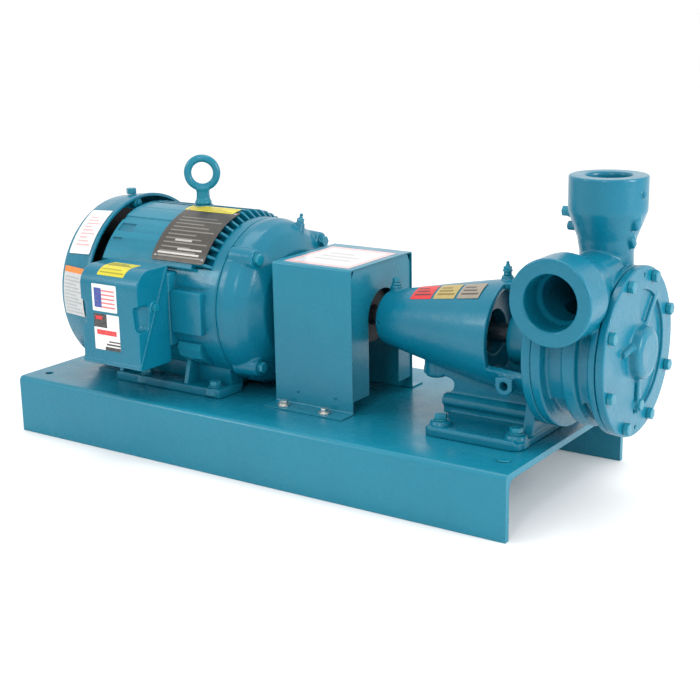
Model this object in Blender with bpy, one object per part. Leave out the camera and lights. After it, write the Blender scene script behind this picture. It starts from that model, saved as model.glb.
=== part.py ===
"""Base-mounted centrifugal pump set: finned electric motor, guarded jaw coupling and pump.

All named dimensions are in millimetres. The layout frame has X along the shaft from the fan cover
to the pump cover, Y across the base (the shaft is at Y = 0, the conduit box on the -Y side) and Z up
from the floor. Everything hangs on the empty "pump_set", which puts the middle of the whole set at
the world's origin.
"""
import math

import bpy
import bmesh
from mathutils import Matrix, Vector

MM = 0.001
GAP = 0.3                 # clearance left between pieces that touch

# ---------------------------------------------------------------- driving dimensions
BASE_LENGTH = 894.0
BASE_WIDTH = 378.0
BASE_HEIGHT = 93.0
BASE_SHEET = 9.5
BASE_BEND = 9.0           # outer bend radius
BASE_INNER_BEND = 10.0
ANCHOR_HOLE_R = 7.0
ANCHORS = ((30.0, -151.0), (30.0, 151.0), (864.0, -138.0), (864.0, 138.0))

SHAFT_HEIGHT = 133.35     # motor foot to shaft centre
AXIS_Z = BASE_HEIGHT + SHAFT_HEIGHT
FOOT_Z = BASE_HEIGHT + GAP

FRAME_START, FRAME_END = 135.0, 372.0
FIN_END = 345.0
FIN_TIP_R = 139.0
FIN_ROOT_R = 124.0
FIN_COUNT = 26
FRAME_BORE_R = 104.0
FRAME_LIP_R = 129.0
FRAME_BOTTOM = -129.0     # flat underside of the round castings, below the shaft

FOOT_START, FOOT_END = 153.0, 370.0
FOOT_FRONT, FOOT_BACK = 121.0, 70.0
FOOT_THICK = 14.0
FOOT_HOLE_X = (208.0, 348.0)
FOOT_HOLE_Y = 107.95
FOOT_HOLE_R = 5.4

SHIELD_FACE_X = 430.0
SHIELD_BOLT_R = 118.0
SHIELD_BOLT_X = 419.0

FAN_COVER_BACK, FAN_COVER_RIM = 52.0, 127.6
FAN_COVER_R = 150.0
FAN_COVER_BACK_R = 142.0
FAN_COVER_WALL = 4.0

MOTOR_SHAFT_START, MOTOR_SHAFT_END = 72.0, 511.0
MOTOR_BEARING = dict(bore=17.8, outer=39.9, width=21.0)

CONDUIT = dict(x0=174.0, x1=290.0, front=-209.0, back=-139.6, z0=147.0, z1=298.0)
CONDUIT_WALL = 5.0
CONDUIT_ENTRY_R = 16.5

GUARD_START, GUARD_END = 447.0, 587.0
GUARD_HALF = 83.0
GUARD_TOP = 309.5
GUARD_SHEET = 2.0
GUARD_FOOT = 30.0
GUARD_SCREWS = ((472.0, -98.0), (547.0, -98.0), (472.0, 98.0), (547.0, 98.0))

COUPLING_R = 42.0
COUPLING_MID = 520.0
JAW_HALF = 9.5            # half of the jaw length along the shaft
JAW_ANGLE = 34.0
SPIDER_LEG_ANGLE = 23.0

BRACKET_START = 597.0
BRACKET_FLANGE_X0, BRACKET_FLANGE_X1 = 873.0, 887.0
BRACKET_FOOT_X = (716.0, 868.0)
BRACKET_FOOT_Y = 104.0
BRACKET_FOOT_THICK = 13.0
BRACKET_BOLTS_X = (734.0, 852.0)
BRACKET_BOLTS_Y = 80.0
WINDOW_X0, WINDOW_X1 = 800.0, 868.0
PUMP_SHAFT_R = 14.0
PUMP_SHAFT_START, PUMP_SHAFT_END = 529.0, 995.0

FLANGE_R = 115.0
CASING_BACK = BRACKET_FLANGE_X1 + GAP
CASING_FRONT = 977.0
CASING_BARREL_R = 99.0
CHAMBER_R = 88.0
CHAMBER_BACK = 908.0
PORT_X = 930.0
SUCTION_Z = 315.0         # centre of the 2 1/2 in suction port
SUCTION_FACE_Y = -149.0
SUCTION_R, SUCTION_BORE_R = 57.0, 36.5
DISCHARGE_Y = 21.7        # centre of the 2 in discharge port
DISCHARGE_FACE_Z = 455.0
DISCHARGE_R, DISCHARGE_BORE_R = 52.7, 30.3

GASKET_THICK = 0.8
COVER_BACK = CASING_FRONT + GASKET_THICK + 2 * GAP
COVER_FACE = 990.0
COVER_POCKET_X = 985.5    # floor of the recess in the cover
COVER_BOSS_R, COVER_BOSS_X = 35.0, 1006.0
COVER_BOLT_R = 103.5
COVER_BOLT_COUNT = 8

IMPELLER_X0, IMPELLER_X1 = 931.0, 953.0
IMPELLER_R = 85.0
IMPELLER_VANES = 12

SET_MIDDLE_X = COVER_BOSS_X / 2
SET_MIDDLE_Y = (CONDUIT["front"] + BASE_WIDTH / 2) / 2

# ---------------------------------------------------------------- scene and materials
for old in list(bpy.data.objects):
    bpy.data.objects.remove(old, do_unlink=True)


def material(name, colour, roughness, metallic=0.0):
    made = bpy.data.materials.new(name)
    made.use_nodes = True
    shader = made.node_tree.nodes["Principled BSDF"]
    shader.inputs["Base Color"].default_value = (*colour, 1.0)
    shader.inputs["Roughness"].default_value = roughness
    shader.inputs["Metallic"].default_value = metallic
    return made


ENAMEL = material("teal_enamel", (0.012, 0.205, 0.315), 0.28)
CAST_ENAMEL = material("teal_cast_enamel", (0.012, 0.200, 0.305), 0.36)
STEEL = material("machined_steel", (0.55, 0.56, 0.58), 0.30, 1.0)
ZINC = material("zinc_plate", (0.75, 0.74, 0.70), 0.28, 1.0)
LAMINATION = material("lamination_steel", (0.28, 0.29, 0.31), 0.45, 1.0)
COPPER = material("copper_winding", (0.62, 0.26, 0.12), 0.40, 1.0)
PLASTIC = material("fan_plastic", (0.03, 0.03, 0.03), 0.55)
RUBBER = material("elastomer", (0.04, 0.04, 0.045), 0.75)
PLATE = material("nameplate_metal", (0.16, 0.15, 0.14), 0.38, 0.9)
BRONZE = material("bronze", (0.62, 0.42, 0.18), 0.35, 1.0)
GASKET = material("gasket_fibre", (0.32, 0.30, 0.26), 0.85)
CARBON = material("seal_carbon", (0.06, 0.06, 0.065), 0.40)

scene_objects = bpy.context.scene.collection.objects


def empty(name, location, parent=None):
    holder = bpy.data.objects.new(name, None)
    holder.location = Vector(location) * MM
    holder.parent = parent
    scene_objects.link(holder)
    return holder


pump_set = empty("pump_set", (-SET_MIDDLE_X, -SET_MIDDLE_Y, 0.0))
motor_axis = empty("motor_axis", (0.0, 0.0, AXIS_Z), pump_set)
pump_axis = empty("pump_axis", (0.0, 0.0, AXIS_Z), pump_set)


def add(name, bm, finish, location=(0.0, 0.0, 0.0), rotation=(0.0, 0.0, 0.0), parent=pump_set,
        smooth_angle=38.0):
    """Turn a bmesh in millimetres into a named object in metres."""
    bmesh.ops.remove_doubles(bm, verts=bm.verts, dist=0.0005)
    bmesh.ops.recalc_face_normals(bm, faces=bm.faces)
    bmesh.ops.scale(bm, vec=(MM, MM, MM), verts=bm.verts)
    mesh = bpy.data.meshes.new(name)
    bm.to_mesh(mesh)
    bm.free()
    mesh.shade_smooth()
    mesh.set_sharp_from_angle(angle=math.radians(smooth_angle))
    mesh.materials.append(finish)
    made = bpy.data.objects.new(name, mesh)
    made.location = Vector(location) * MM
    made.rotation_euler = rotation
    made.parent = parent
    scene_objects.link(made)
    return made


def combine(target, tool, operation):
    """Add or subtract another shape with an exact Boolean; the tool stays as a wire guide."""
    tool.hide_render = True
    tool.display_type = 'WIRE'
    change = target.modifiers.new(operation.lower(), 'BOOLEAN')
    change.operation = operation
    change.solver = 'EXACT'
    change.object = tool


def guide(target, bm, name, where):
    """A tool object, in its target's own frame unless another place is given."""
    where.setdefault("parent", target.parent)
    where.setdefault("location", target.location / MM)
    where.setdefault("rotation", target.rotation_euler)
    return add(target.name + "." + name, bm, ENAMEL, **where)


def unite(target, bm, name="join_guide", **where):
    combine(target, guide(target, bm, name, where), 'UNION')


def cut(target, bm, name="cut_guide", **where):
    combine(target, guide(target, bm, name, where), 'DIFFERENCE')


# ---------------------------------------------------------------- shape makers (millimetres)
def turned(profile, segments=32, closed=False):
    """Revolve (x, radius) points about the X axis. An open profile starts and ends on the axis."""
    bm = bmesh.new()
    verts = [bm.verts.new((x, 0.0, r)) for x, r in profile]
    pairs = list(zip(verts, verts[1:]))
    if closed:
        pairs.append((verts[-1], verts[0]))
    edges = [bm.edges.new(pair) for pair in pairs]
    bmesh.ops.spin(bm, geom=verts + edges, cent=(0, 0, 0), axis=(1, 0, 0), angle=2 * math.pi,
                   steps=segments, use_merge=True)
    bmesh.ops.remove_doubles(bm, verts=bm.verts, dist=0.0005)
    return bm


def rod(x0, x1, radius, segments=24):
    return turned([(x0, 0.0), (x0, radius), (x1, radius), (x1, 0.0)], segments)


def tube(x0, x1, inner, outer, segments=32):
    return turned([(x0, inner), (x0, outer), (x1, outer), (x1, inner)], segments, closed=True)


def block(x0, x1, y0, y1, z0, z1):
    bm = bmesh.new()
    bmesh.ops.create_cube(bm, size=1.0)
    bmesh.ops.scale(bm, vec=(x1 - x0, y1 - y0, z1 - z0), verts=bm.verts)
    bmesh.ops.translate(bm, vec=((x0 + x1) / 2, (y0 + y1) / 2, (z0 + z1) / 2), verts=bm.verts)
    return bm


def prism(outline, start, end, axis='X'):
    """Extrude a closed outline. Its points are (y, z) for X, (x, z) for Y and (x, y) for Z."""
    places = {'X': lambda a, b, t: (t, a, b), 'Y': lambda a, b, t: (a, t, b),
              'Z': lambda a, b, t: (a, b, t)}[axis]
    bm = bmesh.new()
    face = bm.faces.new([bm.verts.new(places(a, b, start)) for a, b in outline])
    grown = bmesh.ops.extrude_face_region(bm, geom=[face])
    moved = [item for item in grown["geom"] if isinstance(item, bmesh.types.BMVert)]
    bmesh.ops.translate(bm, vec=places(0.0, 0.0, end - start), verts=moved)
    return bm


def arc(radius, start, end, steps, centre=(0.0, 0.0)):
    """Points along an arc; angles in degrees, counter-clockwise."""
    points = []
    for step in range(steps + 1):
        angle = math.radians(start + (end - start) * step / steps)
        points.append((centre[0] + radius * math.cos(angle), centre[1] + radius * math.sin(angle)))
    return points


def upright(bm):
    """Turn a shape made about X so that its axis runs up Z."""
    bmesh.ops.rotate(bm, cent=(0, 0, 0), matrix=Matrix.Rotation(-math.pi / 2, 3, 'Y'), verts=bm.verts)
    return bm


def crosswise(bm):
    """Turn a shape made about X so that its axis runs along Y."""
    bmesh.ops.rotate(bm, cent=(0, 0, 0), matrix=Matrix.Rotation(math.pi / 2, 3, 'Z'), verts=bm.verts)
    return bm


def moved(bm, x=0.0, y=0.0, z=0.0):
    bmesh.ops.translate(bm, vec=(x, y, z), verts=bm.verts)
    return bm


def bevelled(bm, width, segments=2, wanted=lambda edge: True):
    edges = [edge for edge in bm.edges if wanted(edge)]
    bmesh.ops.bevel(bm, geom=edges, offset=width, segments=segments, affect='EDGES', profile=0.5,
                    clamp_overlap=True)
    return bm


def fastener(sections, segments=12):
    """One closed bolt, screw or fitting along Z from (z, size, kind) sections, bottom to top.

    kind is 'round' (size is the radius) or 'hex' (size is half the width across the flats).
    """
    bm = bmesh.new()
    rings = []
    for z, size, kind in sections:
        ring = []
        for step in range(segments):
            angle = 2 * math.pi * step / segments
            from_flat = (math.degrees(angle) + 30.0) % 60.0 - 30.0
            radius = size / math.cos(math.radians(from_flat)) if kind == 'hex' else size
            ring.append(bm.verts.new((radius * math.cos(angle), radius * math.sin(angle), z)))
        rings.append(ring)
    bm.faces.new(rings[0])
    bm.faces.new(rings[-1])
    for low, high in zip(rings, rings[1:]):
        for step in range(segments):
            following = (step + 1) % segments
            bm.faces.new((low[step], low[following], high[following], high[step]))
    return bm


# ---------------------------------------------------------------- baseplate
def channel_outline():
    """Outer and inner lines of the inverted channel, as (y, z) points."""
    half = BASE_WIDTH / 2
    centre = (half - BASE_BEND, BASE_HEIGHT - BASE_BEND)
    right_out = [(half, 0.0)] + arc(BASE_BEND, 0, 90, 3, centre)
    inner_centre = (half - BASE_SHEET - BASE_INNER_BEND, BASE_HEIGHT - BASE_SHEET - BASE_INNER_BEND)
    right_in = arc(BASE_INNER_BEND, 90, 0, 3, inner_centre) + [(half - BASE_SHEET, 0.0)]
    left_out = [(-y, z) for y, z in reversed(right_out)]
    left_in = [(-y, z) for y, z in reversed(right_in)]
    return right_out + left_out + left_in + right_in


baseplate = add("baseplate", prism(channel_outline(), 0.0, BASE_LENGTH), ENAMEL)


def base_hole(x, y, radius):
    hole = moved(upright(rod(BASE_HEIGHT - 15.0, BASE_HEIGHT + 5.0, radius, 8)), x, y)
    cut(baseplate, hole, "hole")


for anchor in ANCHORS:
    base_hole(*anchor, ANCHOR_HOLE_R)

# ---------------------------------------------------------------- bolts through the base
HEAD_AF = 8.2             # half of the width across the flats


def base_bolt(name, x, y, seat_z, hole_r=FOOT_HOLE_R):
    """Hex bolt with its washer above the foot and its nut below the base's sheet."""
    base_hole(x, y, hole_r)
    nut_top = BASE_HEIGHT - BASE_SHEET - GAP
    seat = seat_z + GAP
    sections = [(nut_top - 9.0, HEAD_AF, 'hex'), (nut_top, HEAD_AF, 'hex'),
                (nut_top, 4.8, 'round'), (seat, 4.8, 'round'),
                (seat, 11.0, 'round'), (seat + 2.0, 11.0, 'round'),
                (seat + 2.0, HEAD_AF, 'hex'), (seat + 9.6, HEAD_AF, 'hex')]
    return add(name, fastener(sections), ENAMEL, location=(x, y, 0.0))


# ---------------------------------------------------------------- motor frame
def frame_outline():
    """Finned outline of the motor frame about the shaft, cut flat at the bottom, as (y, z)."""
    points = []
    pitch = 360.0 / FIN_COUNT
    for fin in range(FIN_COUNT):
        middle = fin * pitch
        for radius, side in ((FIN_ROOT_R, -0.32), (FIN_TIP_R, -0.22), (FIN_TIP_R, 0.22),
                             (FIN_ROOT_R, 0.32)):
            angle = math.radians(middle + side * pitch)
            points.append((radius * math.cos(angle), radius * math.sin(angle)))
    return points


motor_frame = add("motor_frame", prism(frame_outline(), FRAME_START, FIN_END), CAST_ENAMEL,
                  location=(0.0, 0.0, AXIS_Z))
unite(motor_frame, turned([(FRAME_START - GAP, 0.0), (FRAME_START - GAP, FIN_ROOT_R + 0.8),
                           (FIN_END - 2.0, FIN_ROOT_R + 0.8), (FRAME_END - 8.0, FRAME_LIP_R),
                           (FRAME_END, FRAME_LIP_R), (FRAME_END, 0.0)], 26), "barrel")

NAMEPLATE = dict(x0=240.0, x1=345.0, low=100.5, high=148.5)


def sector(inner, outer, low, high, steps):
    """Closed outline of a ring sector about the shaft; angles in degrees from +Y towards +Z."""
    return arc(outer, low, high, steps) + arc(inner, high, low, steps)


unite(motor_frame, prism(sector(FIN_ROOT_R - 6.0, FIN_TIP_R - 0.4, 98.0, 151.0, 6), 146.0, 330.0),
      "nameplate_pad")
unite(motor_frame, block(176.0, 288.0, -139.3, -100.0, -36.0, 44.0), "conduit_pad")
unite(motor_frame, block(300.0, 366.0, -137.3, -100.0, -33.0, 32.0), "side_pad")
unite(motor_frame, block(176.0, 366.0, 100.0, 137.3, -34.0, 34.0), "rear_pad")
unite(motor_frame, moved(upright(rod(110.0, 142.0, 15.0, 14)), 249.0), "eyebolt_boss")

foot_top = FOOT_Z + FOOT_THICK - AXIS_Z
foot_low = FOOT_Z - AXIS_Z
for side in (-1.0, 1.0):
    outer, inner = side * FOOT_FRONT, side * FOOT_BACK
    unite(motor_frame, block(FOOT_START, FOOT_END, min(outer, inner), max(outer, inner), foot_low,
                             foot_top), "foot")
    rib = [(side * 116.0, foot_top - 3.0), (side * 118.0, foot_top + 8.0), (side * 112.0, -52.0),
           (side * 92.0, -52.0), (side * 60.0, -112.0), (side * 72.0, foot_top - 3.0)]
    for rib_x in (FOOT_START + 4.0, 272.0):
        unite(motor_frame, prism(rib, rib_x, rib_x + 12.0), "foot_rib")
cut(motor_frame, block(100.0, 400.0, -69.0, 69.0, -160.0, FRAME_BOTTOM), "flat_bottom")
cut(motor_frame, rod(100.0, 400.0, FRAME_BORE_R, 24), "bore")
cut(motor_frame, moved(upright(rod(120.0, 160.0, 6.8, 10)), 249.0), "eyebolt_hole")
cut(motor_frame, moved(crosswise(rod(-150.0, -95.0, 14.0, 14)), 232.0), "lead_hole")
bolt_number = 1
for foot_x in FOOT_HOLE_X:
    for foot_y in (-FOOT_HOLE_Y, FOOT_HOLE_Y):
        cut(motor_frame, moved(upright(rod(-160.0, foot_top + 3.0, FOOT_HOLE_R, 8)), foot_x, foot_y),
            "foot_hole")
        base_bolt(f"motor_foot_bolt_{bolt_number}", foot_x, foot_y, FOOT_Z + FOOT_THICK)
        bolt_number += 1

# ---------------------------------------------------------------- motor end shields
shoulder = arc(34.0, 90.0, 14.0, 3, centre=(390.0, FRAME_LIP_R - 34.0))
drive_end_shield = add("drive_end_shield", turned(
    [(FRAME_END + GAP, 96.0), (FRAME_END + GAP, FRAME_LIP_R)] + shoulder
    + [(SHIELD_FACE_X, 84.0), (SHIELD_FACE_X, 52.0), (436.0, 48.0), (436.0, 19.0), (423.0, 19.0),
       (423.0, 40.4), (401.0, 40.4), (401.0, 50.0), (414.0, 60.0), (414.0, 84.0)], 26,
    closed=True), CAST_ENAMEL, location=(0.0, 0.0, AXIS_Z))
for corner in range(4):
    angle = math.radians(45.0 + 90.0 * corner)
    boss = moved(rod(378.0, SHIELD_BOLT_X, 13.0, 10), 0.0, SHIELD_BOLT_R * math.cos(angle),
                 SHIELD_BOLT_R * math.sin(angle))
    unite(drive_end_shield, boss, "bolt_boss")
cut(drive_end_shield, block(350.0, 440.0, -120.0, 120.0, -160.0, FRAME_BOTTOM), "flat_bottom")
GREASE_X, GREASE_TILT = 409.0, math.radians(-19.0)
GREASE_SEAT_R = 126.5
grease_boss = upright(rod(100.0, GREASE_SEAT_R, 6.5, 8))
unite(drive_end_shield, grease_boss, "grease_boss", location=(GREASE_X, 0.0, AXIS_Z),
      rotation=(GREASE_TILT, 0.0, 0.0))

fan_end_shield = add("fan_end_shield", turned(
    [(FRAME_START - 2 * GAP, 60.0), (FRAME_START - 2 * GAP, 122.0), (122.0, 122.0), (114.0, 100.0),
     (112.0, 46.0), (108.0, 20.0), (114.0, 20.0), (114.0, 40.4), (136.0, 40.4),
     (136.0, 47.0)], 24, closed=True), CAST_ENAMEL, location=(0.0, 0.0, AXIS_Z))
cut(fan_end_shield, block(90.0, 150.0, -120.0, 120.0, -160.0, -121.0), "flat_bottom")

for name, start in (("motor_bearing_drive", 401.5), ("motor_bearing_fan", 114.5)):
    add(name, tube(start, start + MOTOR_BEARING["width"], MOTOR_BEARING["bore"],
                   MOTOR_BEARING["outer"], 20), STEEL, location=(0.0, 0.0, AXIS_Z))

# ---------------------------------------------------------------- fan cover
cover_profile = ([(FAN_COVER_BACK, 0.0), (FAN_COVER_BACK, FAN_COVER_BACK_R - 16.0)]
                 + [(FAN_COVER_BACK + 16.0 - 16.0 * math.cos(math.radians(a)),
                     FAN_COVER_BACK_R - 16.0 + 16.0 * math.sin(math.radians(a)))
                    for a in (30, 65)]
                 + [(FAN_COVER_RIM - 10.0, FAN_COVER_R - 1.0), (FAN_COVER_RIM, FAN_COVER_R),
                    (FAN_COVER_RIM, 0.0)])
fan_cover = add("fan_cover", turned(cover_profile, 28), CAST_ENAMEL, location=(0.0, 0.0, AXIS_Z))
cut(fan_cover, block(0.0, 200.0, -160.0, 160.0, -170.0, FRAME_BOTTOM), "flat_bottom")
fan_space = add("fan_cover.space", turned(
    [(FAN_COVER_BACK + FAN_COVER_WALL, 0.0),
     (FAN_COVER_BACK + FAN_COVER_WALL, FAN_COVER_BACK_R - 18.0),
     (FAN_COVER_BACK + 16.0, FAN_COVER_BACK_R - FAN_COVER_WALL),
     (FAN_COVER_RIM + 5.0, FAN_COVER_R - FAN_COVER_WALL + 0.5), (FAN_COVER_RIM + 5.0, 0.0)], 28),
    ENAMEL, location=(0.0, 0.0, AXIS_Z))
cut(fan_space, block(0.0, 200.0, -160.0, 160.0, -170.0, FRAME_BOTTOM + FAN_COVER_WALL), "floor")
combine(fan_cover, fan_space, 'DIFFERENCE')
INLET_SLOTS = 8
for slot in range(INLET_SLOTS):
    cut(fan_cover, block(40.0, 62.0, 38.0, 100.0, -4.0, 4.0), "inlet",
        rotation=(2 * math.pi * (slot + 0.5) / INLET_SLOTS, 0.0, 0.0))
for lug in range(3):
    lug_angle = math.radians(90.0 + 120.0 * lug)
    lug_bm = moved(rod(116.0, 126.0, 9.0, 8), 0.0, 138.0 * math.cos(lug_angle),
                   138.0 * math.sin(lug_angle))
    unite(fan_cover, lug_bm, "lug")
fan_cover_plug = add("fan_cover_plug", fastener(
    [(148.9, 6.0, 'round'), (152.0, 6.0, 'round'), (152.0, 7.6, 'hex'), (160.0, 7.6, 'hex'),
     (161.0, 6.4, 'round')]), ENAMEL, location=(96.0, -2.0, AXIS_Z))

# ---------------------------------------------------------------- stator, rotor, shaft and fan
add("stator_core", tube(190.0, 310.0, 82.4, FRAME_BORE_R - 1.6, 24), LAMINATION,
    location=(0.0, 0.0, AXIS_Z))
add("stator_winding", turned(
    [(160.0, 79.0), (342.0, 79.0), (342.0, 97.0), (312.0, 97.0), (312.0, 81.6),
     (188.0, 81.6), (188.0, 97.0), (160.0, 97.0)], 24, closed=True), COPPER, location=(0.0, 0.0, AXIS_Z))
add("rotor_core", tube(186.0, 314.0, 23.5, 77.0, 24), LAMINATION, parent=motor_axis)
add("motor_shaft", turned(
    [(MOTOR_SHAFT_START, 0.0), (MOTOR_SHAFT_START, 13.0), (108.0, 13.0), (108.0, 17.4),
     (137.0, 17.4), (139.0, 23.0), (398.0, 23.0), (400.0, 17.4), (MOTOR_SHAFT_END - 2.0, 17.4),
     (MOTOR_SHAFT_END, 15.6), (MOTOR_SHAFT_END, 0.0)], 20), STEEL, parent=motor_axis)

cooling_fan = add("cooling_fan", turned(
    [(76.0, 13.5), (76.0, 26.0), (96.0, 28.0), (98.0, 104.0), (101.0, 104.0), (101.0, 13.5)], 20,
    closed=True), PLASTIC, parent=motor_axis)
FAN_BLADES = 6
for blade in range(FAN_BLADES):
    unite(cooling_fan, block(74.0, 99.0, 24.0, 102.0, -2.0, 2.0), "blade", parent=motor_axis,
          rotation=(2 * math.pi * blade / FAN_BLADES, 0.0, 0.0))

# ---------------------------------------------------------------- lifting eyebolt and nameplate
EYE_X, EYE_Z, EYE_MEAN_R, EYE_WIRE_R = 249.0, 418.0, 23.0, 6.1
EYE_TURN = math.radians(34.0)
FRAME_TOP = AXIS_Z + 142.0
lifting_eyebolt = add("lifting_eyebolt", upright(turned(
    [(FRAME_TOP - 18.0, 0.0), (FRAME_TOP - 18.0, 6.2), (FRAME_TOP + GAP, 6.2),
     (FRAME_TOP + GAP, 14.0), (FRAME_TOP + 3.0, 14.0), (FRAME_TOP + 9.0, 10.5),
     (FRAME_TOP + 20.0, 9.0), (FRAME_TOP + 27.0, 11.0), (FRAME_TOP + 28.0, 0.0)], 14)),
    ENAMEL, location=(EYE_X, 0.0, 0.0), rotation=(0.0, 0.0, EYE_TURN))


def ring_mesh(mean_radius, wire_radius, around=18, across=7):
    """A torus whose axis is Y."""
    bm = bmesh.new()
    circle = [bm.verts.new((mean_radius + x, y, 0.0)) for x, y in
              arc(wire_radius, 0.0, 360.0 - 360.0 / across, across - 1)]
    edges = [bm.edges.new((circle[i], circle[(i + 1) % across])) for i in range(across)]
    bmesh.ops.spin(bm, geom=circle + edges, cent=(0, 0, 0), axis=(0, 1, 0), angle=2 * math.pi,
                   steps=around, use_merge=True)
    return bm


unite(lifting_eyebolt, moved(ring_mesh(EYE_MEAN_R, EYE_WIRE_R), 0.0, 0.0, EYE_Z), "ring",
      location=(EYE_X, 0.0, 0.0), rotation=(0.0, 0.0, EYE_TURN))

add("nameplate", prism(sector(FIN_TIP_R + 0.6, FIN_TIP_R + 1.8, NAMEPLATE["low"], NAMEPLATE["high"], 8),
                       NAMEPLATE["x0"], NAMEPLATE["x1"]), PLATE, location=(0.0, 0.0, AXIS_Z))

motor_grease_fitting = add("motor_grease_fitting", fastener(
    [(GAP, 5.0, 'hex'), (6.0, 5.0, 'hex'), (6.0, 3.0, 'round'), (10.0, 3.2, 'round'),
     (13.5, 2.0, 'round')]), ENAMEL,
    location=(GREASE_X, -GREASE_SEAT_R * math.sin(GREASE_TILT),
              AXIS_Z + GREASE_SEAT_R * math.cos(GREASE_TILT)), rotation=(GREASE_TILT, 0.0, 0.0))

# ---------------------------------------------------------------- conduit box, split on a diagonal
SPLIT_LOW, SPLIT_HIGH = (-209.0, 149.0), (-141.0, 296.0)


def conduit_solid(shrink):
    """The box's outer shape (shrink 0) or its hollow (shrink = wall), in the layout frame."""
    x0, x1 = CONDUIT["x0"] + shrink, CONDUIT["x1"] - shrink
    front, z0, z1 = CONDUIT["front"] + shrink, CONDUIT["z0"] + shrink, CONDUIT["z1"] - shrink
    back = CONDUIT["back"] - (shrink if shrink else 0.0)
    radius = 30.0 - shrink
    side = [(back, z0), (back, z1)]
    side += [(front + radius + radius * math.cos(math.radians(a)),
              z1 - radius + radius * math.sin(math.radians(a))) for a in (90, 120, 150, 180)]
    side += [(front, z0 + 6.0), (front + 6.0, z0)]
    bm = prism(side, x0, x1)
    corner = 12.0 - shrink * 0.8

    def outward_side(edge):
        a, b = edge.verts[0].co, edge.verts[1].co
        same_side = abs(a.x - b.x) < 0.01 and (abs(a.x - x0) < 0.01 or abs(a.x - x1) < 0.01)
        return same_side and not (abs(a.y - back) < 0.01 and abs(b.y - back) < 0.01)

    return bevelled(bm, corner, 2, outward_side)


def half_space(cover_side, offset):
    """A big prism on one side of the diagonal split, held back from it by offset."""
    (ya, za), (yb, zb) = SPLIT_LOW, SPLIT_HIGH
    along = Vector((yb - ya, zb - za)).normalized()
    normal = Vector((-along.y, along.x)) if cover_side else Vector((along.y, -along.x))
    a = Vector(SPLIT_LOW) - along * 80.0 + normal * offset
    b = Vector(SPLIT_HIGH) + along * 80.0 + normal * offset
    far = normal * 260.0
    return prism([tuple(a), tuple(b), tuple(b + far), tuple(a + far)], 140.0, 330.0)


conduit_box = add("conduit_box", conduit_solid(0.0), CAST_ENAMEL)
conduit_cover = add("conduit_cover", conduit_solid(0.0), CAST_ENAMEL)
cut(conduit_box, half_space(True, -GAP / 2), "split")
cut(conduit_cover, half_space(False, -GAP / 2), "split")
for half in (conduit_box, conduit_cover):
    cut(half, conduit_solid(CONDUIT_WALL), "hollow")
cut(conduit_box, moved(upright(rod(120.0, 165.0, CONDUIT_ENTRY_R, 16)), 232.0, -172.0), "entry")
cut(conduit_box, moved(crosswise(rod(-155.0, -130.0, 14.0, 14)), 232.0, 0.0, AXIS_Z), "lead_hole")

# ---------------------------------------------------------------- coupling guard
guard_low = BASE_HEIGHT + GAP
guard_in = GUARD_HALF - GUARD_SHEET
foot_out = GUARD_HALF + GUARD_FOOT
guard_wall = [(-foot_out, guard_low), (-GUARD_HALF, guard_low), (-guard_in, guard_low),
              (-guard_in, GUARD_TOP - GUARD_SHEET), (guard_in, GUARD_TOP - GUARD_SHEET),
              (guard_in, guard_low), (foot_out, guard_low), (foot_out, guard_low + GUARD_SHEET),
              (GUARD_HALF, guard_low + GUARD_SHEET), (GUARD_HALF, GUARD_TOP), (-GUARD_HALF, GUARD_TOP),
              (-GUARD_HALF, guard_low + GUARD_SHEET), (-foot_out, guard_low + GUARD_SHEET)]
coupling_guard = add("coupling_guard", prism(guard_wall, GUARD_START, GUARD_END), ENAMEL)
END_PANEL_LOW = 112.0
for panel_x, opening_low, opening_high in ((GUARD_END - 4.0, -36.0, 46.0), (GUARD_START + 2.0, -40.0, 40.0)):
    unite(coupling_guard, block(panel_x, panel_x + GUARD_SHEET, -guard_in - 0.5, guard_in + 0.5,
                                END_PANEL_LOW, GUARD_TOP - 1.0), "end_panel")
    middle = (opening_low + opening_high) / 2
    reach = (opening_high - opening_low) / 2
    opening = ([(opening_low, 60.0)]
               + [(middle - reach * math.cos(math.radians(a)),
                   AXIS_Z + reach * math.sin(math.radians(a))) for a in range(0, 181, 20)]
               + [(opening_high, 60.0)])
    cut(coupling_guard, prism(opening, panel_x - 3.0, panel_x + 5.0), "end_opening")
for number, (screw_x, screw_y) in enumerate(GUARD_SCREWS, 1):
    base_hole(screw_x, screw_y, 3.6)
    cut(coupling_guard, moved(upright(rod(BASE_HEIGHT - 5.0, BASE_HEIGHT + 8.0, 3.6, 8)), screw_x,
                              screw_y), "screw_hole")
    seat = guard_low + GUARD_SHEET + GAP
    add(f"guard_screw_{number}", fastener(
        [(BASE_HEIGHT - 14.0, 3.0, 'round'), (seat, 3.0, 'round'), (seat, 9.2, 'round'),
         (seat + 1.4, 9.2, 'round'), (seat + 1.6, 6.0, 'hex'), (seat + 6.0, 6.0, 'hex'),
         (seat + 7.0, 4.8, 'round')]), ZINC, location=(screw_x, screw_y, 0.0))

# ---------------------------------------------------------------- jaw coupling
def jaw_outline(middle, width):
    return sector(23.0, COUPLING_R - 0.6, middle - width / 2, middle + width / 2, 2)


def coupling_hub(name, parent, back, face, jaw_tip, bore, first_jaw):
    hub = add(name, tube(min(back, face), max(back, face), bore, COUPLING_R, 20), CAST_ENAMEL,
              parent=parent)
    for jaw in range(3):
        overlap = 1.0 if face < jaw_tip else -1.0
        outline = jaw_outline(first_jaw + 120.0 * jaw, JAW_ANGLE)
        unite(hub, prism(outline, face - overlap, jaw_tip), "jaw", parent=parent)
    return hub


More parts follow.
